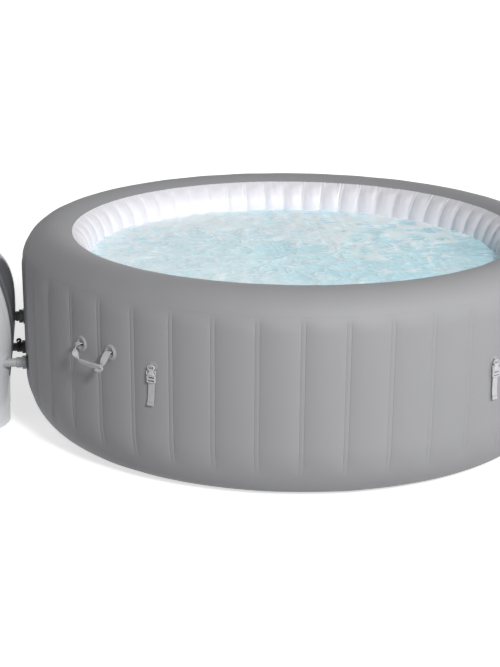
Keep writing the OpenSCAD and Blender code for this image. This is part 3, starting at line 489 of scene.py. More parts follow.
# %% The water's surface
WATER_Z, WATER_R = 0.590, 0.7415
water_angle = np.arange(512) / 512 * TAU
water_r = np.concatenate([[0], WATER_R * np.linspace(0.012, 1, 170) ** 0.8])
wx, wy = water_r[None] * np.cos(water_angle)[:, None], water_r[None] * np.sin(water_angle)[:, None]
bend_x = wx + 0.030 * hills(wx, wy, 0.11, 21) + 0.012 * hills(wx, wy, 0.04, 22)
bend_y = wy + 0.030 * hills(wx, wy, 0.13, 23) + 0.012 * hills(wx, wy, 0.045, 24)
swell = 0.008 * (hills(bend_x, bend_y, 0.17, 25) - 0.5) + 0.0065 * (crests(bend_x, bend_y, 0.085, 26) - 0.5)
chop = 0.0036 * (crests(bend_x, 1.5 * bend_y, 0.042, 27, 1.3) - 0.4)
chop += 0.0018 * (crests(bend_x, bend_y, 0.02, 28) - 0.5)
height = WATER_Z + swell + chop
foam = 0.55 * crests(bend_x, bend_y, 0.075, 26, 3) + 0.45 * crests(bend_x, 1.5 * bend_y, 0.042, 27, 4)
# The foam mark also grows towards the left and the far side of the water.
foam = rise(0.42, 0.95, foam + 0.35 * rise(0.5, 0.85, hills(wx, wy, 0.28, 31))
            + 0.35 * rise(-0.20, -0.62, wx - 0.35 * wy) + 0.25 * rise(0.20, 0.66, wy))
depth_r = np.array([0.7355, 0.7345, 0.705, 0])
depth_z = np.array([WATER_Z - 0.03, 0.05, 0.0055, 0.0055])
below = np.stack([depth_r[None] * np.cos(water_angle)[:, None], depth_r[None] * np.sin(water_angle)[:, None],
                  np.broadcast_to(depth_z, (512, 4))], -1)
water_points = np.concatenate([np.stack([wx, wy, height], -1), below], 1)[::-1]
water_foam = np.concatenate([foam, np.zeros((512, 4))], 1)[::-1]

# %% [markdown]
# Clear water over a white liner looks pale aqua, and the bubbles in it scatter light, so its colour is on
# the surface and only the gloss is the water's own. The foam mark mixes in white and takes the gloss away.
# A weak glow, painted light, makes the water brighter than the lamps do. It stands for the light that comes
# back up out of the bubbles from the white liner below.

# %% The water's finish
aerated_water = bpy.data.materials.new("aerated_water")
aerated_water.use_nodes = True
tree = aerated_water.node_tree
shader = tree.nodes["Principled BSDF"]
shader.inputs["IOR"].default_value = 1.333
place = add(tree, "ShaderNodeTexCoord").outputs["Object"]
mark = add(tree, "ShaderNodeAttribute", attribute_name="foam").outputs["Fac"]
streaks = add(tree, "ShaderNodeTexNoise", {"Vector": place},
              {"Scale": 28, "Detail": 5, "Roughness": 0.62, "Distortion": 1.2}).outputs["Fac"]
broad = add(tree, "ShaderNodeTexNoise", {"Vector": place}, {"Scale": 3.2, "Detail": 2}).outputs["Fac"]
side = add(tree, "ShaderNodeSeparateXYZ", {"Vector": place}).outputs["X"]
# The tint drifts with a broad noise and darkens towards positive x: painted shade on the water's right side.
drift_and_right_side_shade = add(tree, "ShaderNodeMath", {0: side}, {1: -0.34}, operation="MULTIPLY_ADD")
tree.links.new(broad, drift_and_right_side_shade.inputs[2])
tint = add(tree, "ShaderNodeValToRGB", {"Fac": drift_and_right_side_shade.outputs[0]})
tint.color_ramp.elements[0].position, tint.color_ramp.elements[0].color = 0.35, linear("#b9e3ee")
tint.color_ramp.elements[1].position, tint.color_ramp.elements[1].color = 0.65, linear("#d2eff7")
froth = add(tree, "ShaderNodeMapRange", {"Value": streaks}, {"From Min": 0.38, "From Max": 0.78})
amount = add(tree, "ShaderNodeMath", {0: mark, 1: froth.outputs["Result"]}, operation="MULTIPLY_ADD")
tree.links.new(mark, amount.inputs[2])
white = add(tree, "ShaderNodeMath", {0: amount.outputs["Value"]}, {1: 0.62}, operation="MULTIPLY",
            use_clamp=True)
mixed = add(tree, "ShaderNodeMix", {"Factor": white.outputs["Value"]}, data_type="RGBA")
tree.links.new(tint.outputs["Color"], mixed.inputs["A"])
mixed.inputs["B"].default_value = linear("#f2fbfe")
gloss = add(tree, "ShaderNodeMapRange", {"Value": white.outputs["Value"]}, {"To Min": 0.12, "To Max": 0.6})
ripple = add(tree, "ShaderNodeBump", {"Height": streaks}, {"Distance": 0.003, "Strength": 0.5})
tree.links.new(mixed.outputs["Result"], shader.inputs["Base Color"])
# Painted light: the water glows weakly in its own tint and foam colour.
tree.links.new(mixed.outputs["Result"], shader.inputs["Emission Color"])
shader.inputs["Emission Strength"].default_value = 0.17
tree.links.new(gloss.outputs["Result"], shader.inputs["Roughness"])
tree.links.new(ripple.outputs["Normal"], shader.inputs["Normal"])
piece("water", [grid(water_points, around=True)], "tub", aerated_water,
      marks={"foam": water_foam}, weld_points=True)

# %% [markdown]
# ## Webbing
# The grab handles and the clips' tails are woven polyester webbing. Thick yarns run along the strap and
# thinner ones cross them, so the face has small ribs in a slight slant. The weave lies along the strap, so
# it reads the strap's UV map, which is in metres. Real ribs are 1.2 mm apart; they are drawn at 3 mm to show.

# %% The webbing's finish
webbing = finish_of("woven_polyester_webbing", "#c8c8cb", 0.72, dark=0.93, patch=0.03, grain=0.002,
                    relief=0.0002, Sheen_Weight=0.25, Sheen_Roughness=0.45)
tree = webbing.node_tree
shader = tree.nodes["Principled BSDF"]
cloth_uv = add(tree, "ShaderNodeUVMap", uv_map="UVMap").outputs["UV"]
slant = add(tree, "ShaderNodeMapping", {"Vector": cloth_uv}, {"Rotation": (0, 0, math.radians(12))})
weft = add(tree, "ShaderNodeTexWave", {"Vector": slant.outputs["Vector"]},
           {"Scale": TAU / 0.003 / 20, "Distortion": 0.3}, bands_direction="Y")
warp = add(tree, "ShaderNodeTexWave", {"Vector": cloth_uv}, {"Scale": TAU / 0.004 / 20}, bands_direction="X")
yarns = add(tree, "ShaderNodeMath", {0: weft.outputs["Fac"], 1: warp.outputs["Fac"]}, operation="MULTIPLY")
weave = add(tree, "ShaderNodeBump",
            {"Height": yarns.outputs["Value"], "Normal": tree.nodes["Bump"].outputs["Normal"]},
            {"Distance": 0.0006, "Strength": 0.9})
tree.links.new(weave.outputs["Normal"], shader.inputs["Normal"])
# The thread is darker than the webbing: partly its own tone, partly painted shade of the seam's groove across
# the hem.
stitch_thread_and_groove_shade = finish_of("polyester_thread_darkened_for_groove_shade", "#8f8f93", 0.7, patch=0.01, grain=0.001, relief=0.0002)
by_slot["webbing"] = webbing

# %% [markdown]
# ## Grab handles
# Two oval patches are welded to the wall for each handle, each with a raised ring round a slot. The webbing
# leaves one slot, turns on edge, is folded and sewn into a round grip, and goes back into the other slot.
# Places are given with x out of the wall, y along it and z up, and a function sets them on the tub.

# %% Placing things on the wall
def on_wall(points, angle, out, z):
    """Moves points (x out, y along the wall, z up) out along x and up by z, then turns them by angle."""
    return turned(points + np.array([out, 0, z]), angle)


def ribbon(path, across, width, thick, power=6, count=20):
    """A flat band along path, across it in the direction given, with a UV map in metres along its face."""
    path = np.asarray(path, float)
    section = rounded(1, 1, power, count)
    width = np.broadcast_to(np.asarray(width, float), len(path))
    thick = np.broadcast_to(np.asarray(thick, float), len(path))
    loops = section[None] * np.stack([width, thick], 1)[:, None] / 2
    points = sweep(path, across, loops)
    run = np.concatenate([[0], np.cumsum(np.linalg.norm(np.diff(path, axis=0), axis=1))])
    uv = np.stack(np.broadcast_arrays(loops[..., 0].T, run[None]), -1)
    return grid(points, around=True, ends=(0, len(path) - 1), uv=np.concatenate([uv, uv[:1]]))


def smooth_path(corners, count):
    """A curve through corner points: Catmull-Rom, p = ((2b) + (c - a)t + (2a - 5b + 4c - d)t^2
    + (3b - a - 3c + d)t^3) / 2 between b and c."""
    p = np.asarray(corners, float)
    p = np.concatenate([[2 * p[0] - p[1]], p, [2 * p[-1] - p[-2]]])
    s = np.linspace(0, len(p) - 3, count)
    k = np.minimum(s.astype(int), len(p) - 4)
    t = (s - k)[:, None]
    a, b, c, d = p[k], p[k + 1], p[k + 2], p[k + 3]
    return (2 * b + (c - a) * t + (2 * a - 5 * b + 4 * c - d) * t ** 2 + (3 * b - a - 3 * c + d) * t ** 3) / 2


HANDLE_TURNS, HANDLE_Z, SLOT_Y = (220.4, 40.4), 0.453, 0.069
HANDLE_OUT = math.sqrt(float(side_radius(HANDLE_Z)) ** 2 - SLOT_Y ** 2)


def wall_out(y, z, angle):
    """How far out the wall is at y along it and height z, from the axis, seen from a handle's own angle."""
    around = math.radians(angle) + np.arcsin(y / 0.978)
    return np.sqrt((side_radius(z) + wall_push(around, z)) ** 2 - y ** 2)

# %% Patches
def patch(angle, y):
    """A welded disc of radius 27 mm. Its height is 1.2 mm, with a ring of 4 mm * exp(-((r - 20) / 4)^2)
    round the slot, and it thins out to the wall at its edge."""
    r = np.concatenate([np.linspace(0, 0.027, 26), [0.0272]])
    t = np.arange(48) / 48 * TAU
    rr, tt = np.meshgrid(r, t)
    py, pz = rr * np.cos(tt), 1.06 * rr * np.sin(tt)
    height = 0.0012 + 0.0044 * np.exp(-((rr - 0.0195) / 0.0042) ** 2)
    height = np.where(rr > 0.027, -0.002, height * rise(0.0285, 0.0235, rr) + 0.0003)
    x = wall_out(py + y, pz + HANDLE_Z, angle) + height
    return turned(np.stack([x, py + y, pz + HANDLE_Z], -1)[::-1], angle)


patches = [grid(patch(a, s * SLOT_Y)[::-1], around=True) for a in HANDLE_TURNS for s in (-1, 1)]
piece("handle_welds", patches, "tub", seam_pvc, hides=["handle_patches"],
      weld_points=True)
SLOT_HALF_Y, SLOT_HALF_Z, SLOT_RISE = 0.0130, 0.0062, 0.0022
# Each slot gets a black oval just over the wall: painted shade for the dark inside of the slot under the
# webbing.
slot_shade_discs = []
for a in HANDLE_TURNS:
    for s in (-1, 1):
        t = np.arange(28) / 28 * TAU
        ring = np.stack([0 * t, SLOT_HALF_Y * np.cos(t), SLOT_HALF_Z * np.sin(t)], 1)
        base = wall_out(s * SLOT_Y, HANDLE_Z, a)
        out_of = np.array([[SLOT_RISE, 0, 0], [SLOT_RISE, 0, 0], [-0.001, 0, 0]])
        rows = np.stack([0 * ring, ring, ring], 1) + out_of[None]
        slot_shade_discs.append(grid(on_wall(rows + np.array([base, s * SLOT_Y, 0]), a, 0, HANDLE_Z), around=True))
piece("handle_slot_shade", slot_shade_discs, "tub", black_rubber_and_slot_shade, weld_points=True)

# %% Handles
LEFT_LEG = [(-0.004, -0.069, 0.001), (0.010, -0.069, 0.005), (0.023, -0.070, 0.001), (0.0305, -0.069, -0.013),
            (0.033, -0.066, -0.026), (0.036, -0.055, -0.038), (0.040, -0.036, -0.0445)]
LEFT_FACE = [(0, 1, 0), (0.1, 1, 0), (0.4, 0.9, 0), (0.8, 0.5, 0.1), (1, -0.3, 0.3), (0.8, -0.5, 0.7),
             (0.3, 0, 1)]
RIGHT_LEG = [(-0.004, 0.069, 0.001), (0.009, 0.069, 0.003), (0.020, 0.069, -0.006), (0.029, 0.0685, -0.019),
             (0.035, 0.068, -0.031), (0.040, 0.066, -0.041)]
RIGHT_FACE = [(0, 1, 0), (-0.1, 1, 0), (-0.25, 1, 0), (-0.35, 1, 0.1), (-0.3, 1, 0.3), (0, 1, 0.6)]
WEB_WIDTH, WEB_THICK = 0.0250, 0.0022
GRIP_MIDDLE, GRIP_HALF, GRIP_WIDTH, GRIP_THICK = 0.014, 0.055, 0.0205, 0.0090


def handle(number, angle):
    """Two legs of webbing from the slots to the ends of a folded grip, and the grip with its loose end."""
    parts = []
    for leg, face, end in ((LEFT_LEG, LEFT_FACE, 0.015), (RIGHT_LEG, RIGHT_FACE, 0.014)):
        width = WEB_WIDTH + (end - WEB_WIDTH) * rise(0.6, 1, np.linspace(0, 1, 40))
        parts.append(ribbon(smooth_path(leg, 40), smooth_path(face, 40), width, WEB_THICK))
    y = np.linspace(-0.041, 0.069, 40)
    bow = np.cos((y - GRIP_MIDDLE) / GRIP_HALF * TAU / 4)
    axis = np.stack([0.0395 + 0.001 * bow, y, -0.0445 - 0.0015 * bow], 1)
    squash = 1 - 0.16 * np.abs((y - GRIP_MIDDLE) / GRIP_HALF) ** 6
    parts.append(ribbon(axis, (0.45, 0, 1), GRIP_WIDTH * squash, GRIP_THICK * squash, power=3))
    fold = smooth_path([(0.0440, 0.046, -0.0525), (0.0450, 0.058, -0.0545), (0.0475, 0.070, -0.0540),
                        (0.0500, 0.077, -0.0510)], 18)
    parts.append(ribbon(fold, (1, 0, -0.3), 0.0165, 0.0020))
    lines = on_wall(np.concatenate([p for p, _, _ in parts]), angle, HANDLE_OUT, HANDLE_Z)
    done, at = [], 0
    for p, faces, uvs in parts:
        done.append((lines[at:at + len(p)], faces, uvs))
        at += len(p)
    return piece(f"handle_{number}_webbing", done, f"handle_{number}", webbing,
                 hides=[f"handle_{number}_strap"], weld_points=True)


for number, angle in enumerate(HANDLE_TURNS, 1):
    handle(number, angle)

# %% [markdown]
# ## Cover clips
# Five side-release clips hold the cover. The upper half is a frame that swings on a bar; its head is a loop
# with a slot. The lower half has a broad tongue, two springy arms that show at the sides, and a ladder with
# two slots that the webbing tail is threaded through. All of it is drawn as rounded frames and bars: a
# frame is a closed loop round an outline, with a rounded section between an outer and an inner outline.

# %% Frames and bars
def frame_of(outer, inner, x, thick, count=12):
    """A ring between two outlines of (y, z) pairs in equal number. Its section is a rounded rectangle that
    is thick along x, centred at x, and reaches from inner to outer."""
    across = rounded(0.5, 0.5, 5, count)
    middle, reach = (outer + inner) / 2, outer - inner
    yz = middle[:, None] + reach[:, None] * across[None, :, :1]
    depth = np.broadcast_to(x + thick * across[None, :, 1:], (len(outer), count, 1))
    return grid(np.concatenate([depth, yz], -1), around=True, along=True)


def outline(half_y, half_z, y=0.0, z=0.0, power=5, count=48, top=1.0):
    """A rounded rectangle (y, z) whose upper end is narrowed to top times its width."""
    p = rounded(half_y, half_z, power, count)
    p[:, 0] *= 1 + (top - 1) * (p[:, 1] / half_z + 1) / 2
    return p + np.array([y, z])


CLIP_TURNS, CLIP_Z = (-125.5, -55.3, 0.0, 55.3, 125.5), (0.436, 0.428, 0.428, 0.428, 0.436)
CLIP_LEAN = (0.075, -0.02, 0.03, 0.06, -0.04)       # how far each tail swings sideways, per metre of drop
CLIP_OUT, TAIL_TOP, TAIL_END, TAIL_ROWS, HEM_AT = 0.009, -0.0500, -0.132, 44, 0.865


def moved(parts, angle, z):
    """Grids in a clip's own frame, set on the wall at that angle and height."""
    return [(on_wall(p, angle, float(side_radius(z)) + CLIP_OUT, z), f, u) for p, f, u in parts]


def clip(number, angle, z, lean):
    """The two halves of one clip, each on its own body: head and frame, then arms, tongue and ladder."""
    head = frame_of(outline(0.0130, 0.0100, z=-0.0030, power=2.3),
                    outline(0.0092, 0.0046, z=-0.0016, power=3.5), 0, 0.0075)
    neck = ribbon([(0, 0, -0.0100), (0, 0, -0.0150), (0, 0, -0.0205)], (0, 1, 0), (0.021, 0.016, 0.020),
                  0.0070, power=4)
    foot = ribbon([(0, 0, -0.0190), (0, 0, -0.0230), (0, 0, -0.0280)], (0, 1, 0), (0.021, 0.026, 0.029),
                  0.0080, power=4)
    piece(f"clip_{number}_frame", moved([head, neck, foot], angle, z), f"clip_{number}_socket",
          clip_abs, hides=[f"clip_{number}_socket"])
    parts = []
    for s in (-1, 1):
        bow = smooth_path([(0, s * 0.0135, -0.0305), (0, s * 0.0162, -0.0235), (0, s * 0.0158, -0.0170),
                           (0, s * 0.0120, -0.0120)], 16)
        parts.append(ribbon(bow, (1, 0, 0), 0.0055, 0.0030, power=3, count=12))
    parts.append(frame_of(outline(0.0162, 0.0068, z=-0.0360, power=5),
                          outline(0.0122, 0.0026, z=-0.0358, power=4), 0, 0.0072))
    parts.append(frame_of(outline(0.0160, 0.0066, z=-0.0472, power=5),
                          outline(0.0120, 0.0026, z=-0.0468, power=4), 0, 0.0072))
    parts.append(ribbon([(0.0008, 0, -0.0394), (0.0008, 0, -0.0415), (0.0008, 0, -0.0436)], (0, 1, 0),
                        0.0300, 0.0085, power=5))
    drop = np.linspace(0, 1, TAIL_ROWS)
    tail = np.stack([-0.0024 - 0.0010 * rise(0.05, 0.3, drop) + 0.0016 * np.sin(8 * drop) * drop,
                     0.001 * drop, TAIL_TOP + (TAIL_END - TAIL_TOP) * drop], 1)
    hem = 0.0018 + 0.0022 * rise(HEM_AT, 0.88, drop) - 0.0012 * np.exp(-((drop - 0.90) / 0.008) ** 2)
    strap = ribbon(tail, (0, 1, 0), 0.0236 - 0.0008 * np.exp(-((drop - 0.87) / 0.02) ** 2), hem, power=8)
    sway = strap[0] + np.stack([0 * strap[0][:, 0], lean * np.minimum(strap[0][:, 2] + 0.05, 0),
                                0 * strap[0][:, 0]], -1)
    piece(f"clip_{number}_ladder", moved(parts, angle, z), f"clip_{number}_prong", clip_abs,
          hides=[f"clip_{number}_prong"])
    piece(f"clip_{number}_tail", moved([(sway, strap[1], strap[2])], angle, z), f"clip_{number}_prong",
          webbing)
    # Two dark stitch rows across the hem: real seams, coloured darker to paint the shade in their grooves.
    at = int(HEM_AT * (TAIL_ROWS - 1))
    seam = [ribbon([(tail[at, 0] + 0.0016, lean * (tail[at, 2] + 0.05) + y, tail[at, 2] - lift)
                    for y in np.linspace(-0.0112, 0.0112, 5)], (1, 0, 0), 0.0012, 0.0009, power=2.5, count=8)
            for lift in (0.0, 0.0085)]
    piece(f"clip_{number}_stitches", moved(seam, angle, z), f"clip_{number}_prong", stitch_thread_and_groove_shade)


def clip_tab(angle, z):
    """The tab that holds a clip: a welded oval on the wall and a strip from it through the head's slot."""
    t, r = np.arange(40) / 40 * TAU, np.array([0, 0.3, 0.6, 0.8, 0.9, 0.97, 1, 1.02])
    py, pz = 0.0190 * r[None] * np.cos(t)[:, None], 0.0150 * r[None] * np.sin(t)[:, None] + 0.002
    lift = np.where(r > 1, -0.002, 0.0008 * rise(1.02, 0.75, r) + 0.0003)
    disc = np.stack([wall_out(py, z + pz, angle) + lift, py, z + pz], -1)
    out = float(side_radius(z))
    over = [(0.0006, 0, 0.012), (0.0050, 0, 0.0085), (0.0105, 0, 0.0030), (0.0132, 0, -0.0010),
            (0.0105, 0, -0.0040), (0.0050, 0, -0.0070), (0.0006, 0, -0.0110)]
    strip = ribbon(smooth_path(over, 30), (0, 1, 0), 0.0125, 0.0018)
    return [grid(turned(disc, angle), around=True), (on_wall(strip[0], angle, out, z), strip[1], strip[2])]


tabs = [part for a, z in zip(CLIP_TURNS, CLIP_Z) for part in clip_tab(a, z)]
piece("clip_tabs", tabs, "tub", seam_pvc, hides=["clip_anchors"], weld_points=True)
for number, (angle, z, lean) in enumerate(zip(CLIP_TURNS, CLIP_Z, CLIP_LEAN), 1):
    clip(number, angle, z, lean)

# %% [markdown]
# ## The pump unit
# The pump, heater and blower stand under two moulded shells. The front one is painted silver and wraps all
# round at the foot; the graphite one closes the side that faces the tub, behind a curved joint. A lathe
# shape would do for one of them, but the joint cuts across the height, so the shell is a grid of height and
# angle in which each row starts and ends at the joint. Its edge is rolled in, as a moulding's edge is.

# %% The shells' outline
base_low, base_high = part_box("pump_base")
PUMP_X, PUMP_TOP = base_low[0] / 2 + base_high[0] / 2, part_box("front_shell")[1][2]
BELLY_R, BELLY_Z, SHELL_FOOT_R, WAIST_Z = 0.220, 0.420, 0.194, 0.120
DOME_H, SHELL = (PUMP_TOP - BELLY_Z) / 0.917, 0.003
JOINT_X, JOINT_R, JOINT_Z = 0.205, 0.700, 0.320     # the circle that the joint of the shells follows
JOINT_FOOT = 0.172                                  # where the rear shell ends, over the front one's foot
print("pump axis and top:", PUMP_X, PUMP_TOP)


def shell_radius(z):
    """A soft waist from 194 mm up to 220 mm, then a dome, r = R * (1 - h^3)^(1/3)."""
    side = SHELL_FOOT_R + (BELLY_R - SHELL_FOOT_R) * rise(WAIST_Z, BELLY_Z, z)
    dome = BELLY_R * np.cbrt(1 - np.clip((z - BELLY_Z) / DOME_H, 0, 1) ** 3)
    return np.where(z < BELLY_Z, side, dome)


def joint_turn(r, z):
    """Half the angle that the rear shell covers: where the joint, a circle seen from the side, meets a ring
    of radius r. x = JOINT_X - JOINT_R + (JOINT_R^2 - (z - JOINT_Z)^2)^(1/2)."""
    across = JOINT_X - JOINT_R + np.sqrt(JOINT_R ** 2 - (z - JOINT_Z) ** 2)
    return np.arccos(np.clip(across / r, -1, 1))


dome_z = BELLY_Z + (PUMP_TOP - 0.0035 - BELLY_Z) * np.sin(np.radians(np.linspace(0, 90, 30)))
shell_z = np.concatenate([np.linspace(0.004, BELLY_Z, 46)[:-1], dome_z])
brow = arc((float(shell_radius(PUMP_TOP)) - 0.004, PUMP_TOP - 0.004), (0.004, 0.004), 30, 90, 4)
shell_line = np.concatenate([np.stack([shell_radius(shell_z), shell_z], 1), brow,
                             [(0.1225, PUMP_TOP), (0.1135, PUMP_TOP)]])


def shell_skin(line, low, high, relief, count):
    """A moulded shell between two angles that change with height. relief(d) is its height over the plain
    shape at a distance d from the joint, in metres. The inside is SHELL behind it."""
    t = np.linspace(0, 1, count)
    t = np.concatenate([[0, 0.0006, 0.0015, 0.003, 0.006, 0.012], t[(t > 0.016) & (t < 0.984)],
                        [0.988, 0.994, 0.997, 0.9985, 0.9994, 1]])
    angle = low[None] + (high - low)[None] * t[:, None]
    d = line[None, :, 0] * np.minimum(angle - low[None], high[None] - angle)
    facing = normals(line)
    outer = line[None] + relief(d, line[None, :, 1])[..., None] * facing[None]
    back = np.round(np.linspace(len(t) - 1, 0, 40)).astype(int)
    loop = np.concatenate([outer, (line - SHELL * facing)[None] + 0 * outer[back]], 0)
    angle = np.concatenate([angle, angle[back]], 0)
    return np.stack([PUMP_X + loop[..., 0] * np.cos(angle), loop[..., 0] * np.sin(angle), loop[..., 1]], -1)

# %% Front shell
def front_relief(d, z):
    """The rolled edge, a groove 26 mm behind it, and a shallow step round the foot."""
    groove = 0.0011 * np.exp(-((d - 0.026) / 0.0022) ** 2) * rise(0.20, 0.26, z)
    step = 0.0015 * rise(0.062, 0.056, z) + 0.0008 * np.exp(-((z - 0.060) / 0.002) ** 2)
    return -0.0035 * np.exp(-(d / 0.003) ** 2) - groove - step


turn = joint_turn(shell_line[:, 0], shell_line[:, 1])
turn[shell_line[:, 1] < JOINT_FOOT] = 0
gap = 0.0004 / shell_line[:, 0] * (turn > 0)
front_points = shell_skin(shell_line, turn + gap, TAU - turn - gap, front_relief, 220)
piece("front_skin", [grid(front_points, around=True, ends=(0, len(shell_line) - 1))], "pump_unit",
      shell_abs, hides=["front_shell"])

# %% Rear shell
def rear_relief(d, z):
    """A recessed band beside the joint, then a soft ridge that runs parallel to it."""
    return -0.0042 * rise(0.020, 0.011, d) + 0.0010 * np.exp(-((d - 0.025) / 0.006) ** 2)


rear_rows = (shell_line[:, 1] > JOINT_FOOT + 0.002) & (shell_line[:, 0] > 0.1290)
rear_foot = JOINT_FOOT + 0.0005
rear_line = np.concatenate([[(float(shell_radius(rear_foot)), rear_foot)], shell_line[rear_rows]])
turn = joint_turn(rear_line[:, 0], rear_line[:, 1])
rear_points = shell_skin(rear_line, -turn, turn, rear_relief, 90)
piece("rear_skin", [grid(rear_points, around=True, ends=(0, len(rear_line) - 1))], "pump_unit",
      rear_abs, hides=["rear_shell"])

# %% [markdown]
# The panel keeps its CAD disc, since its holes guide the buttons. It gets a rounded bead at its rim. Each
# button is a soft dome with a raised mark that a finger can feel: a ring with a bar, waves, a drop, bubbles
# and two arrows.

# %% Rim and buttons
def lathe(profile, centre, count=64):
    """A (r, z) profile turned about an upright axis at centre. It goes outwards on top and back below."""
    p, t = np.asarray(profile, float), np.arange(count) / count * TAU
    r, z = p[None, :, 0], np.broadcast_to(p[None, :, 1], (count, len(p)))
    return np.stack([r * np.cos(t)[:, None], r * np.sin(t)[:, None], z], -1)[::-1] + np.array(centre)


panel_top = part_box("control_panel")[1][2]
bead = arc((0.1170, panel_top - 0.0010), (0.0022, 0.0022), 180, -180, 25)[:-1]
piece("panel_bead", [grid(lathe(bead[::-1], (PUMP_X, 0, 0), 128)[::-1], around=True, along=True)],
      "pump_unit", black_abs)


def mark_line(points, z, width=0.0011):
    """A raised line through (x, y) points, half a millimetre high."""
    path = np.concatenate([np.asarray(points, float), np.full((len(points), 1), z)], 1)
    return ribbon(path, (0, 0, 1), 0.0012, width, power=4, count=10)


def ring_of(radius, x=0.0, y=0.0, start=0, end=360, count=28):
    """Points on a circle about (x, y), from one angle to another in degrees."""
    t = np.radians(np.linspace(start, end, count))
    return np.stack([x + radius * np.cos(t), y + radius * np.sin(t)], 1)


wave_x = np.linspace(-0.0042, 0.0042, 20)
wave = lambda lift: np.stack([wave_x, lift + 0.0009 * np.sin(wave_x / 0.0042 * TAU / 2)], 1)
marks_of = {"power": [ring_of(0.0038, start=125, end=415), [(0, 0.0010), (0, 0.0050)]],
            "filter": [wave(-0.0026), wave(0), wave(0.0026)],
            "heater": [ring_of(0.0030, y=-0.0012, start=150, end=390), [(-0.0026, 0.0003), (0, 0.0050)],
                       [(0.0026, 0.0003), (0, 0.0050)]],
            "bubbles": [ring_of(0.0022, -0.0014, -0.0018), ring_of(0.0015, 0.0028, 0.0012),
                        ring_of(0.0011, -0.0014, 0.0034)],
            "warmer": [[(-0.0038, -0.0018), (0, 0.0026)], [(0, 0.0026), (0.0038, -0.0018)]],
            "cooler": [[(-0.0038, 0.0018), (0, -0.0026)], [(0, -0.0026), (0.0038, 0.0018)]]}
for name, lines in marks_of.items():
    low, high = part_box(f"button_{name}")
    centre, r, top = (np.array(low) + high) / 2, 0.009, high[2]
    dome = [(0, top - 0.0003), (0.4 * r, top - 0.00035), (0.75 * r, top - 0.0006), (0.93 * r, top - 0.0011),
            (0.985 * r, top - 0.0018), (r, top - 0.0030), (r, low[2] + 0.003), (0, low[2] + 0.003)]
    cap = grid(lathe(dome, (centre[0], centre[1], 0), 40), around=True)
    relief = []
    for line in lines:
        p, faces, uvs = mark_line(line, top - 0.0003)
        relief.append((p + np.array([centre[0], centre[1], 0]), faces, uvs))
    piece(f"{name}_cap", [cap], f"button_{name}", button_abs, hides=[f"button_{name}"],
          weld_points=True)
    piece(f"{name}_mark", relief, f"button_{name}", black_abs)

# %% [markdown]
# Each pipe ends in a ribbed sleeve behind its nut. A thick rubber hook sits on the middle pipe and keeps the
# air port's stopper. The pipes are dark, black and light grey, one tone each, set by their place across the
# pump.

# %% Sleeves and hook
def along_pipe(profile, x, y, z, count=48):
    """A (distance, radius) profile turned about a pipe's axis, which runs towards negative x from x."""
    p, t = np.asarray(profile, float), np.arange(count) / count * TAU
    r = p[None, :, 1]
    return np.stack([np.broadcast_to(x - p[None, :, 0], (count, len(p))), y + r * np.cos(t)[:, None],
                     z + r * np.sin(t)[:, None]], -1)[::-1]


def sleeve(length, radius, ribs):
    """Half a wave of 1.2 mm for each rib, between two bevelled ends that close on the pipe."""
    d = np.linspace(0, length, 12 * ribs + 1)
    bulge = radius + 0.0012 * np.abs(np.sin(d / length * ribs * TAU / 2)) ** 0.6
    return [(0, 0.0155)] + list(zip(d, bulge)) + [(length, 0.0155)]


SLEEVES = [("a", 0.010, 0.0170, 1, "dark_plastic", dark_abs),
           ("b", 0.018, 0.0182, 2, "black_plastic", black_abs),
           ("c", 0.020, 0.0180, 3, "light_plastic", nut_abs)]     # pipe, length, radius, ribs, slot, finish
for letter, length, radius, ribs, slot, tone in SLEEVES:
    low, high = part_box(f"coupling_nut_{letter}")
    middle = (np.array(low) + high) / 2
    ring = along_pipe(sleeve(length, radius, ribs), low[0] - 0.0006, middle[1], middle[2])
    piece(f"pipe_sleeve_{letter}", [grid(ring, around=True)], "pump_unit", tone)

low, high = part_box("pipe_tether")
hook_x, hook_y = (low[0] + high[0]) / 2, (low[1] + high[1]) / 2
t = np.radians(np.linspace(-70, 205, 40))
bend = np.stack([hook_x + 0.0060 * np.cos(t), 0 * t + hook_y, high[2] - 0.0095 + 0.0052 * np.sin(t)], 1)
bend = np.concatenate([[(hook_x - 0.001, hook_y, high[2] - 0.0185)], bend])
piece("stopper_hook", [ribbon(bend, (0, 1, 0), 0.0090, 0.0078, power=2.5)],
      "pump_unit", black_rubber_and_slot_shade, hides=["pipe_tether"])

# %% [markdown]
# ## The parts that keep their CAD shape
# Small moulded parts are right as the CAD has them. They only need their finish, by the slot their record
# names.

# %% Finishes for the CAD nodes
pipe_tones = finish_of("grey_and_black_pvc_pipe", "#77787b", 0.38, patch=0.05, grain=0.003, relief=0.00008,
                       IOR=1.53)
tree = pipe_tones.node_tree
apart = add(tree, "ShaderNodeSeparateXYZ", {"Vector": add(tree, "ShaderNodeTexCoord").outputs["Object"]})
by_side = add(tree, "ShaderNodeMapRange", {"Value": apart.outputs["Y"]},
              {"From Min": -0.15, "From Max": 0.15})
tone = add(tree, "ShaderNodeValToRGB", {"Fac": by_side.outputs["Result"]})
tone.color_ramp.interpolation = "CONSTANT"
tone.color_ramp.elements[0].color = linear("#a9aaad")
tone.color_ramp.elements[1].position, tone.color_ramp.elements[1].color = 0.35, linear("#5a5b5e")
last = tone.color_ramp.elements.new(0.65)
last.color = linear("#222325")
tree.links.new(tone.outputs["Color"], tree.nodes["Principled BSDF"].inputs["Base Color"])
own = {"coupling_nut_c": nut_abs, "rear_shell": rear_abs, "pump_pipes": pipe_tones}
for part in frame["record"]["subparts"]:
    node = frame["nodes"][part["node"]]
    finish = own.get(part["node"], by_slot.get(part["material_slot"], clip_abs))
    if not node.material_slots:
        node.data.materials.append(finish)
    for place in node.material_slots:
        place.material = finish

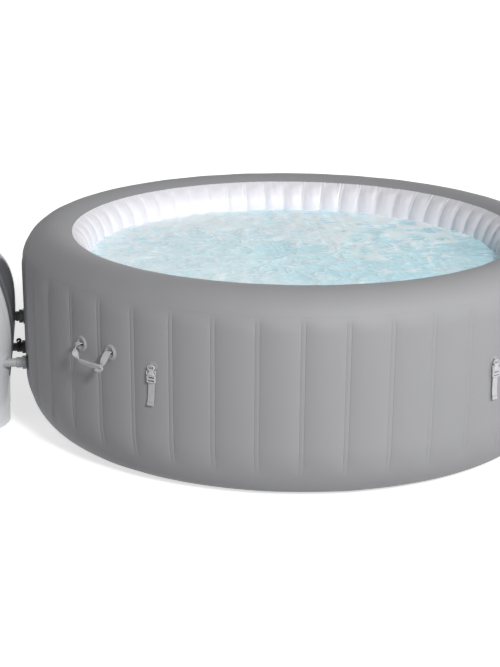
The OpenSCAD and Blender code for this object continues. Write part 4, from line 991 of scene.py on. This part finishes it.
# %% [markdown]
# ## The stage
# The floor is white where the light reaches it and keeps the soft shadow at the tub's foot. To the camera
# and in reflections it gets a little extra white; what it sends to the object is its plain colour. The world
# behind it is white to the camera too, and gives the object a weak even light.

# %% Floor and world
CAMERA_RAYS = ("Is Camera Ray", "Is Glossy Ray", "Is Transmission Ray")


def seen(tree):
    """1 for the rays that show the stage to the eye: camera, glossy and transmission rays."""
    path = add(tree, "ShaderNodeLightPath")
    first = add(tree, "ShaderNodeMath", {0: path.outputs[CAMERA_RAYS[0]], 1: path.outputs[CAMERA_RAYS[1]]},
                operation="MAXIMUM")
    either = {0: first.outputs[0], 1: path.outputs[CAMERA_RAYS[2]]}
    return add(tree, "ShaderNodeMath", either, operation="MAXIMUM").outputs[0]


white_floor = bpy.data.materials.new("white_studio_floor")
white_floor.use_nodes = True
tree = white_floor.node_tree
tree.nodes.remove(tree.nodes["Principled BSDF"])
plain = add(tree, "ShaderNodeBsdfDiffuse", values={"Color": linear("#e0e0e0")})
far = add(tree, "ShaderNodeVectorMath", {0: add(tree, "ShaderNodeTexCoord").outputs["Object"]},
          operation="LENGTH")
lifted = add(tree, "ShaderNodeMapRange", {"Value": far.outputs["Value"]},
             {"From Min": 1.4, "From Max": 4.0, "To Min": NEAR_LIFT, "To Max": FAR_LIFT})
extra = add(tree, "ShaderNodeMath", {0: seen(tree), 1: lifted.outputs["Result"]}, operation="MULTIPLY")
lift = add(tree, "ShaderNodeEmission", {"Strength": extra.outputs[0]})
both = add(tree, "ShaderNodeAddShader", {0: plain.outputs[0], 1: lift.outputs[0]})
tree.links.new(both.outputs[0], tree.nodes["Material Output"].inputs["Surface"])

reach = 30.0
mesh = bpy.data.meshes.new("studio_floor")
mesh.from_pydata([(-reach, -reach, 0), (reach, -reach, 0), (reach, reach, 0), (-reach, reach, 0)], [],
                 [(0, 1, 2, 3)])
mesh.materials.append(white_floor)
floor = bpy.data.objects.new("studio_floor", mesh)
bpy.context.collection.objects.link(floor)

world = bpy.data.worlds.new("studio")
bpy.context.scene.world = world
world.use_nodes = True
tree = world.node_tree
level = add(tree, "ShaderNodeMapRange", {"Value": seen(tree)}, {"To Min": WORLD_LEVEL, "To Max": 1.0})
tree.links.new(level.outputs["Result"], tree.nodes["Background"].inputs["Strength"])
tree.nodes["Background"].inputs["Color"].default_value = (1, 1, 1, 1)

# %% [markdown]
# ## Light
# One large soft box stands in front, a little to the right, and draws the channels and the handle's shadow.
# A second one at the right lifts that side, so that the wall runs from dark at the left to light at the
# right.

# %% Soft boxes
def soft_box(name, turn, lift_angle, away, size, watts):
    """A square area light at an angle round the tub and an angle up, away metres out, facing the tub."""
    light = bpy.data.lights.new(name, "AREA")
    light.size, light.energy = size, watts
    holder = bpy.data.objects.new(name, light)
    t, u = math.radians(turn), math.radians(lift_angle)
    out = np.array([math.cos(t) * math.cos(u), math.sin(t) * math.cos(u), math.sin(u)])
    side = np.array([-math.sin(t), math.cos(t), 0])
    place = np.eye(4)
    place[:3, 0], place[:3, 1], place[:3, 2] = side, np.cross(out, side), out
    place[:3, 3] = out * away + np.array([0, 0, 0.35])
    holder.matrix_world = Matrix(place.tolist())
    bpy.context.collection.objects.link(holder)
    return holder


for name, turn, lift_angle, away, size, watts in SOFT_BOXES:
    soft_box(name, turn, lift_angle, away, size, watts)

# %% [markdown]
# ## The camera
# A long lens from almost seven metres away, raised by 16 degrees, takes in the tub from its front left.

# %% Camera
CAMERA_AT = np.array([-0.961, -6.838, 2.349])
ahead = np.array([0.11166, 0.95194, -0.28519])
ahead /= np.linalg.norm(ahead)
right = np.array([ahead[1], -ahead[0], 0]) / np.hypot(ahead[0], ahead[1])
above = np.cross(right, ahead)
roll = math.radians(0.57)
lens = bpy.data.cameras.new("camera")
lens.lens, lens.sensor_width = 106.2, 36.0
camera = bpy.data.objects.new("camera", lens)
place = np.eye(4)
place[:3, 0] = math.cos(roll) * right + math.sin(roll) * above
place[:3, 1] = -math.sin(roll) * right + math.cos(roll) * above
place[:3, 2], place[:3, 3] = -ahead, CAMERA_AT
camera.matrix_world = Matrix(place.tolist())
bpy.context.collection.objects.link(camera)
scene = bpy.context.scene
scene.camera = camera
scene.view_settings.view_transform = "Standard"
